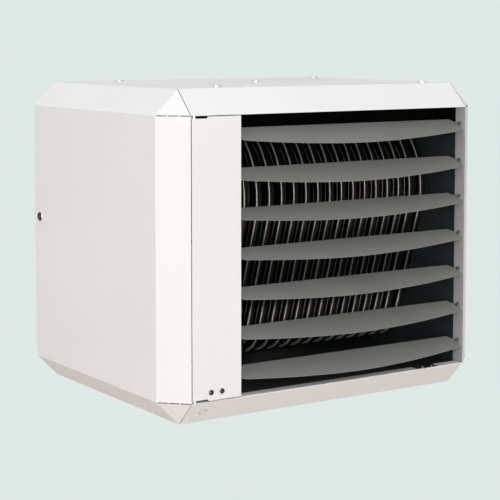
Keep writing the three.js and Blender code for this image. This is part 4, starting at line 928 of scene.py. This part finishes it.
def collars():
    """Two beaded spigots on the rear panel, each with four rivets."""
    swell = np.linspace(-math.pi / 2, math.pi / 2, 9)
    bead = [(40 + 2 * math.cos(t), 34 + 2.2 * math.sin(t)) for t in swell]
    profile = [(38.5, SEAT), (52, SEAT), (52, 2), (42, 2), (40.6, 2.6), (40, 4), *bead]
    profile += [(40, 49.4), (39.6, 50), (38.9, 50), (38.5, 49.4)]
    rivet = [(2.6, 1.8), (2.6, 2.3), (2.0, 3.1), (1.0, 3.5)]
    places = (("flue_collar", FLUE_LEVEL, "flue_spigot"), ("air_collar", INTAKE_LEVEL, "air_intake_spigot"))
    for name, level, node in places:
        shells = [turned(profile, Y, (SPIGOT_X, REAR, level), 64, "joined")]
        for angle in np.radians([45, 135, 225, 315]):
            place = (SPIGOT_X + 46.5 * math.cos(angle), REAR, level + 46.5 * math.sin(angle))
            shells.append(turned(rivet, Y, place, 16))
        casing_part(name, ZINC, shells, node)


def glands():
    """Cable glands: threaded tail inside, hexagon on the panel, round dome nut drawn in to its hole."""
    tail = [(6 - 0.4 * (i % 2), -9 + i) for i in range(9)]
    profile = [(3.5, -9), *tail, (6, SEAT), (10, SEAT), (10, 6.2), (9.2, 7), (9, 8), (9, 15.5)]
    profile += [(8.4, 17.5), (6.8, 19.5), (5.6, 20), (5.2, 19), (3.5, 18.6)]
    for node in ("cable_gland_1", "cable_gland_2"):
        x, _, z = middle_of(node)
        shell = turned(profile, Y, (x, REAR, z), 36, "joined", hexagon=(11, 12))
        casing_part(f"{node}_nut", BLACK, [shell], node)


# -------------------- fan


def inlet_ring():
    """Sheet ring round the fan with a rolled bead and a flat flange on the rear panel."""
    under, over = SEAT, RING_FACE
    bead = (FAN_BORE + 4.5, over)
    profile = [(FAN_BORE, -58), (FAN_BORE + 1.5, -58), *arc(bead, 3, 180, 0, 12)]
    profile += [(FAN_BORE + 7.6, under), (FAN_BORE + 34, under), (FAN_BORE + 34, over)]
    ring = turned([*profile, *arc(bead, 4.5, 0, 180, 16)], Y, FAN_CENTRE, 128, "joined")
    casing_part("inlet_ring", ZINC, [ring], "fan_ring")


def wire_guard():
    """Hoops on six bent spokes round a middle plate, with an eye and a bolt at each spoke's foot."""
    wire = circle(1.6, 8) + (0, GUARD_RISE - 1)
    reaches = np.arange(HUB_RADIUS, 217, 14)
    hoops = [turned(wire + (reach, 0), Y, FAN_CENTRE, 96, "joined") for reach in reaches]
    plate = [(50, GUARD_RISE - 1.7), (50, GUARD_RISE + 0.4), (49.4, GUARD_RISE + 1)]
    wires, bolts = [turned(plate, Y, FAN_CENTRE, 64)], []
    eye = [(6, 2.1), (6, 4.2), (5.6, 4.5)]
    straight = [(reach, 0) for reach in (44, 90, 132, 174, 216)]
    bent = [(222, 0.6), (226, 3), (228.6, 7), (230, 13), (GUARD_FOOT, 20), (GUARD_FOOT, GUARD_RISE - 3.4)]
    reach, drop = np.array(straight + bent).T
    for angle in np.radians(30 + 60 * np.arange(6)):
        out = np.array([math.cos(angle), 0, math.sin(angle)])
        path = FAN_CENTRE + reach[:, None] * out + (GUARD_RISE - drop)[:, None] * Y
        wires += [bar(path, 2.1, np.cross(out, Y), 12), turned(eye, Y, FAN_CENTRE + GUARD_FOOT * out, 28)]
        bolts.append(hexagon_bolt(FAN_CENTRE + 224 * out, Y, RING_FACE, 1, 3.4, 3.6))
    bolts += bolt_circle(FAN_CENTRE, 27, 4, Y, GUARD_RISE + 1, 1, 4.2, 3.6, 45)
    as_node("wire_guard", [(WIRE, hoops + wires), (ZINC, bolts)], ["fan_guard"])


def blade_shell(turn):
    """Sickle blade: at each radius an oval (0.5 c cos s, sheet |sin s|^0.5 / 2), pitched, cambered, swept.
    The share out is 0 at the root and 1 at the tip; chord, pitch and sheet change evenly with it."""
    out = np.linspace(0, 1, 22)[:, None]
    s = np.linspace(0, TURN, 28, endpoint=False)[None, :]
    along = 0.5 * np.cos(s)
    root = HUB_RADIUS - 4
    radius = root + (SICKLE_REACH - root) * out
    tip_round = 1 - 0.16 * np.clip((out - 0.86) / 0.14, 0, 1) ** 2
    pairs = (SICKLE_CHORD, SICKLE_PITCH, SICKLE_SHEET)
    chord, pitch, sheet = (start + (end - start) * out for start, end in pairs)
    chord = chord * tip_round
    thick = 0.5 * sheet * np.sign(np.sin(s)) * np.sqrt(np.abs(np.sin(s)))
    angle = turn + SICKLE_SWEEP * out**2 + along * chord * np.cos(pitch) / radius
    axial = along * chord * np.sin(pitch) + SICKLE_CAMBER * (0.25 - along**2) + thick
    x = FAN_CENTRE[0] + radius * np.sin(angle)
    z = FAN_CENTRE[2] + radius * np.cos(angle)
    return loft(np.stack([x, FAN_CENTRE[1] - 29 + axial, z], -1))


def impeller():
    """The hub with its round nose, and the sickle blades at equal angles."""
    t = np.linspace(0, math.pi / 2, 9)
    nose = np.stack([HUB_RADIUS - 16 + 16 * np.sin(t), -44 - 12 * np.cos(t)], -1)
    centre = [(0, -54.5), (14, -54.5), (16, -55.5), (18, -56)]
    back = [(HUB_RADIUS, -7), (HUB_RADIUS - 1, -6), (8.3, -6), (8.3, -42), (0, -42)]
    hub = turned([*centre, *nose, *back], Y, FAN_CENTRE, 64)
    blades = [blade_shell(TURN * i / SICKLE_COUNT) for i in range(SICKLE_COUNT)]
    as_node("sickle_impeller", [(BLACK, [hub, *blades])], ["fan_impeller"], "fan", sharp=40)


def fan_motor():
    """Ribbed motor case, whose fixed spindle carries the impeller."""
    ribs = [(46 - 1.4 * (i % 2), 5 + 2.2 * i) for i in range(9)]
    profile = [(0, -40), (7, -40), (8, -39), (8, -4), (40, -4), (44.5, -2), (46, 2), *ribs]
    profile += [(45, 26), (38, 32), (36, 34), (36, 36), (0, 36)]
    case = turned(profile, Y, FAN_CENTRE, 64)
    casing_part("motor_case", CAST, [case], "fan_motor")


# -------------------- fasteners and lock


def pan_head(centre, axis, face, out, top, length):
    """Domed round head with a hexagon socket, on its shank."""
    profile = [(2.5, -length), (2.5, SEAT), (4.6, SEAT), (4.6, 0.45 * top), (4.1, 0.78 * top)]
    profile += [(3.1, 0.97 * top), (2.3, top), (1.9, top), (1.9, 0.5 * top), (0, 0.4 * top)]
    return turned([(r, face + out * a) for r, a in profile], axis, centre, 36, hexagon=(7, 8))


def screw_heads():
    """Black screws: two in the front panel, two in the lower lip."""
    kinds = (("panel_screw", Y, FRONT, -1, 2.8, 9), ("floor_screw", Z, BOTTOM + 43.5, 1, 5, 3.5))
    for index in (1, 2):
        for kind, axis, *sizes in kinds:
            node = f"{kind}_{index}"
            shell = pan_head(middle_of(node) * (1 - axis), axis, *sizes)
            casing_part(f"{node}_head", BLACK, [shell], node)


def suspension_nuts():
    """Threaded sleeves with a flat bright rim on the top face."""
    nut = [(3.6, -17), (5.5, -17), (5.5, SEAT), (9, SEAT), (9, 1.9), (8.4, 2.5), (4.1, 2.5), (3.6, 2.1)]
    for index in range(1, 6):
        node = f"suspension_nut_{index}"
        shell = turned(nut, Z, middle_of(node) * (1 - Z), 40, "joined")
        casing_part(f"rivet_nut_{index}", BRIGHT_NUT, [shell], node)


def hinge_pins():
    """The door's two pins, with chamfered ends."""
    for name in ("top", "bottom"):
        node = f"hinge_pin_{name}"
        low, high = (corner.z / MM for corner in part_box(node))
        profile = [(1.1, low), (1.5, low + 0.4), (1.5, high - 0.4), (1.1, high)]
        pin = turned(profile, Z, middle_of(node) * (1 - Z), 24)
        casing_part(f"{name}_pin", ZINC, [pin], node)


def lock():
    """Quarter-turn lock: thin bright collar, black head with a raised bar in its recess, and its body."""
    x, y, z = LOCK_CENTRE
    profile = [(8.1, -SEAT), (9, -SEAT), (9, -1.0), (8.7, -1.4), (8.1, -1.4)]
    collar = turned(profile, X, LOCK_CENTRE, 48, "joined")
    profile = [(0, -2.0), (5.6, -2.0), (6, -3.4), (7.2, -3.2), (8.1, -2.2)]
    head = turned([*profile, (8.1, -SEAT), (6, -SEAT), (6, 3.2), (0, 3.2)], X, LOCK_CENTRE, 48)
    bit = rounded_box((x - 3.1, x - 1.8), (y - 1.1, y + 1.1), (z - 5, z + 5), 0.4)
    groups = [(ZINC, [collar]), (BLACK, [head, bit])]
    as_node("quarter_turn_head", groups, ["lock_barrel"], "lock")


# -------------------- room, light and camera
BACKDROP = (0.737, 0.811, 0.783, 1)
SKY = (0.75, 0.75, 0.745, 1)
SKY_IN_GLOSS = (0.24, 0.235, 0.225, 1)
FLOOR_COLOUR, FLOOR_BOUNCE = (0.8, 0.86, 0.835, 1), (0.66, 0.59, 0.53, 1)
FLOOR_LEVEL = -1.6
FLOOR_REACH = 14.0
FLOOR_FADE = (1.2, 2.6)  # the floor turns into the backdrop between these distances from its middle
LAMPS_AIM = (0, 0, -0.3)


def seen_directly(net):
    """1 for rays from the camera, and for what clear surfaces show."""
    path = net.add("ShaderNodeLightPath").outputs
    return net.math("MAXIMUM", path["Is Camera Ray"], path["Is Transmission Ray"])


def room():
    """The world: a backdrop for the camera, a sky for the light. The floor fades into the backdrop."""
    world = bpy.data.worlds.new("studio")
    bpy.context.scene.world = world
    world.use_nodes = True
    net = Net(world.node_tree)
    in_gloss = net.add("ShaderNodeLightPath").outputs["Is Glossy Ray"]
    sky = net.mix(in_gloss, SKY, SKY_IN_GLOSS)
    background = world.node_tree.nodes["Background"]
    net.feed(background.inputs["Color"], net.mix(seen_directly(net), sky, BACKDROP))

    rings = [np.column_stack([circle(reach, 96), np.full(96, FLOOR_LEVEL)]) for reach in (FLOOR_REACH, 0.001)]
    points, faces = loft(rings, "open")
    mesh = bpy.data.meshes.new("floor")
    mesh.from_pydata(points.tolist(), [], faces.tolist())
    material, net, shader = new_material("pale_floor")
    direct = seen_directly(net)
    net.feed(shader.inputs["Base Color"], net.mix(direct, FLOOR_BOUNCE, FLOOR_COLOUR))
    shader.inputs["Roughness"].default_value = 0.9
    shader.inputs["Specular IOR Level"].default_value = 0.0
    glow = net.add("ShaderNodeEmission", {"Color": BACKDROP})
    flat = net.add("ShaderNodeVectorMath", {0: net.place(), 1: (1, 1, 0)}, operation="MULTIPLY")
    distance = net.add("ShaderNodeVectorMath", {0: flat.outputs["Vector"]}, operation="LENGTH")
    share = net.math("MULTIPLY", net.between(distance.outputs["Value"], *FLOOR_FADE), direct)
    blend = net.add("ShaderNodeMixShader", {0: share, 1: shader.outputs["BSDF"], 2: glow.outputs["Emission"]})
    net.feed(material.node_tree.nodes["Material Output"].inputs["Surface"], blend.outputs["Shader"])
    mesh.materials.append(material)
    placed("floor", mesh)


def soft_box(name, place, width, height, power):
    """An area lamp of so many watts that faces the heater's middle."""
    light = bpy.data.lights.new(name, "AREA")
    light.shape = "RECTANGLE"
    light.size, light.size_y = width, height
    light.energy = power
    lamp = placed(name, light)
    lamp.location = place
    lamp.rotation_euler = (Vector(LAMPS_AIM) - Vector(place)).to_track_quat("-Z", "Y").to_euler()
    return lamp


def lights():
    """A tall strip at the front left, a soft box above, and a thin strip that only shows as glints."""
    soft_box("key_strip", (-2.3, -3.68, 0.55), 0.34, 3.0, 66)
    soft_box("upper_soft_box", (-1.5, 0.7, 2.9), 1.4, 1.4, 14)
    glint = soft_box("glint_strip", (-2.5, -3.55, 0.3), 0.1, 3.2, 680)
    glint.visible_diffuse = False


CAMERA_AT = (-1.6337, -2.4542, 0.0904)
CAMERA_YAW = math.radians(33.39)
CAMERA_PITCH = math.radians(-4.922)
CAMERA_LENS = 109.7
CAMERA_SHIFT = -0.1665


def camera():
    """The photograph's camera: it looks along its yaw from +Y and its pitch, through a shifted lens."""
    data = bpy.data.cameras.new("camera")
    data.lens = CAMERA_LENS
    data.sensor_width = 36
    data.shift_y = CAMERA_SHIFT
    made = placed("camera", data)
    level = math.cos(CAMERA_PITCH)
    ahead = Vector((math.sin(CAMERA_YAW) * level, math.cos(CAMERA_YAW) * level, math.sin(CAMERA_PITCH)))
    made.location = CAMERA_AT
    made.rotation_euler = ahead.to_track_quat("-Z", "Y").to_euler()
    bpy.context.scene.camera = made


# -------------------- assembly
bpy.context.scene.view_settings.view_transform = "Standard"
room()
lights()
camera()

CASING = ["top_panel", "bottom_panel", "front_panel_left", "side_cover_right", "rear_panel", "service_door"]
dress(CASING, WHITE_COAT, SHEET_FOLD)
dress(["louvre_rail_left", "louvre_rail_right"], RAIL_COAT, RAIL_FOLD)
dress(["duct_divider", "duct_side_right", "duct_floor", "heat_shield"], DUCT_SHEET, RAIL_FOLD)
dress(["hinge_bracket_top", "hinge_bracket_bottom", "lock_cam", "lock_nut"], ZINC, RAIL_FOLD)
dress(["control_box", "control_box_lid"], GREY_BOX, BOX_FOLD)

CASING_AND_OUTLET = [fold_slits, lip_hem, knock_out, louvres]
HEAT = [exchanger, shield_apron, drum, burner_cylinder, burner_plate, electrode]
MIXTURE_AND_GAS = [elbow, blower, blower_motor, gas_valve, gas_pipe, injector_pipe]
SERVICES = [board, clamp_row, flue, collars, glands]
FAN_END = [inlet_ring, wire_guard, impeller, fan_motor]
SMALL_PARTS = [screw_heads, suspension_nuts, hinge_pins, lock]
for build in CASING_AND_OUTLET + HEAT + MIXTURE_AND_GAS + SERVICES + FAN_END + SMALL_PARTS:
    build()
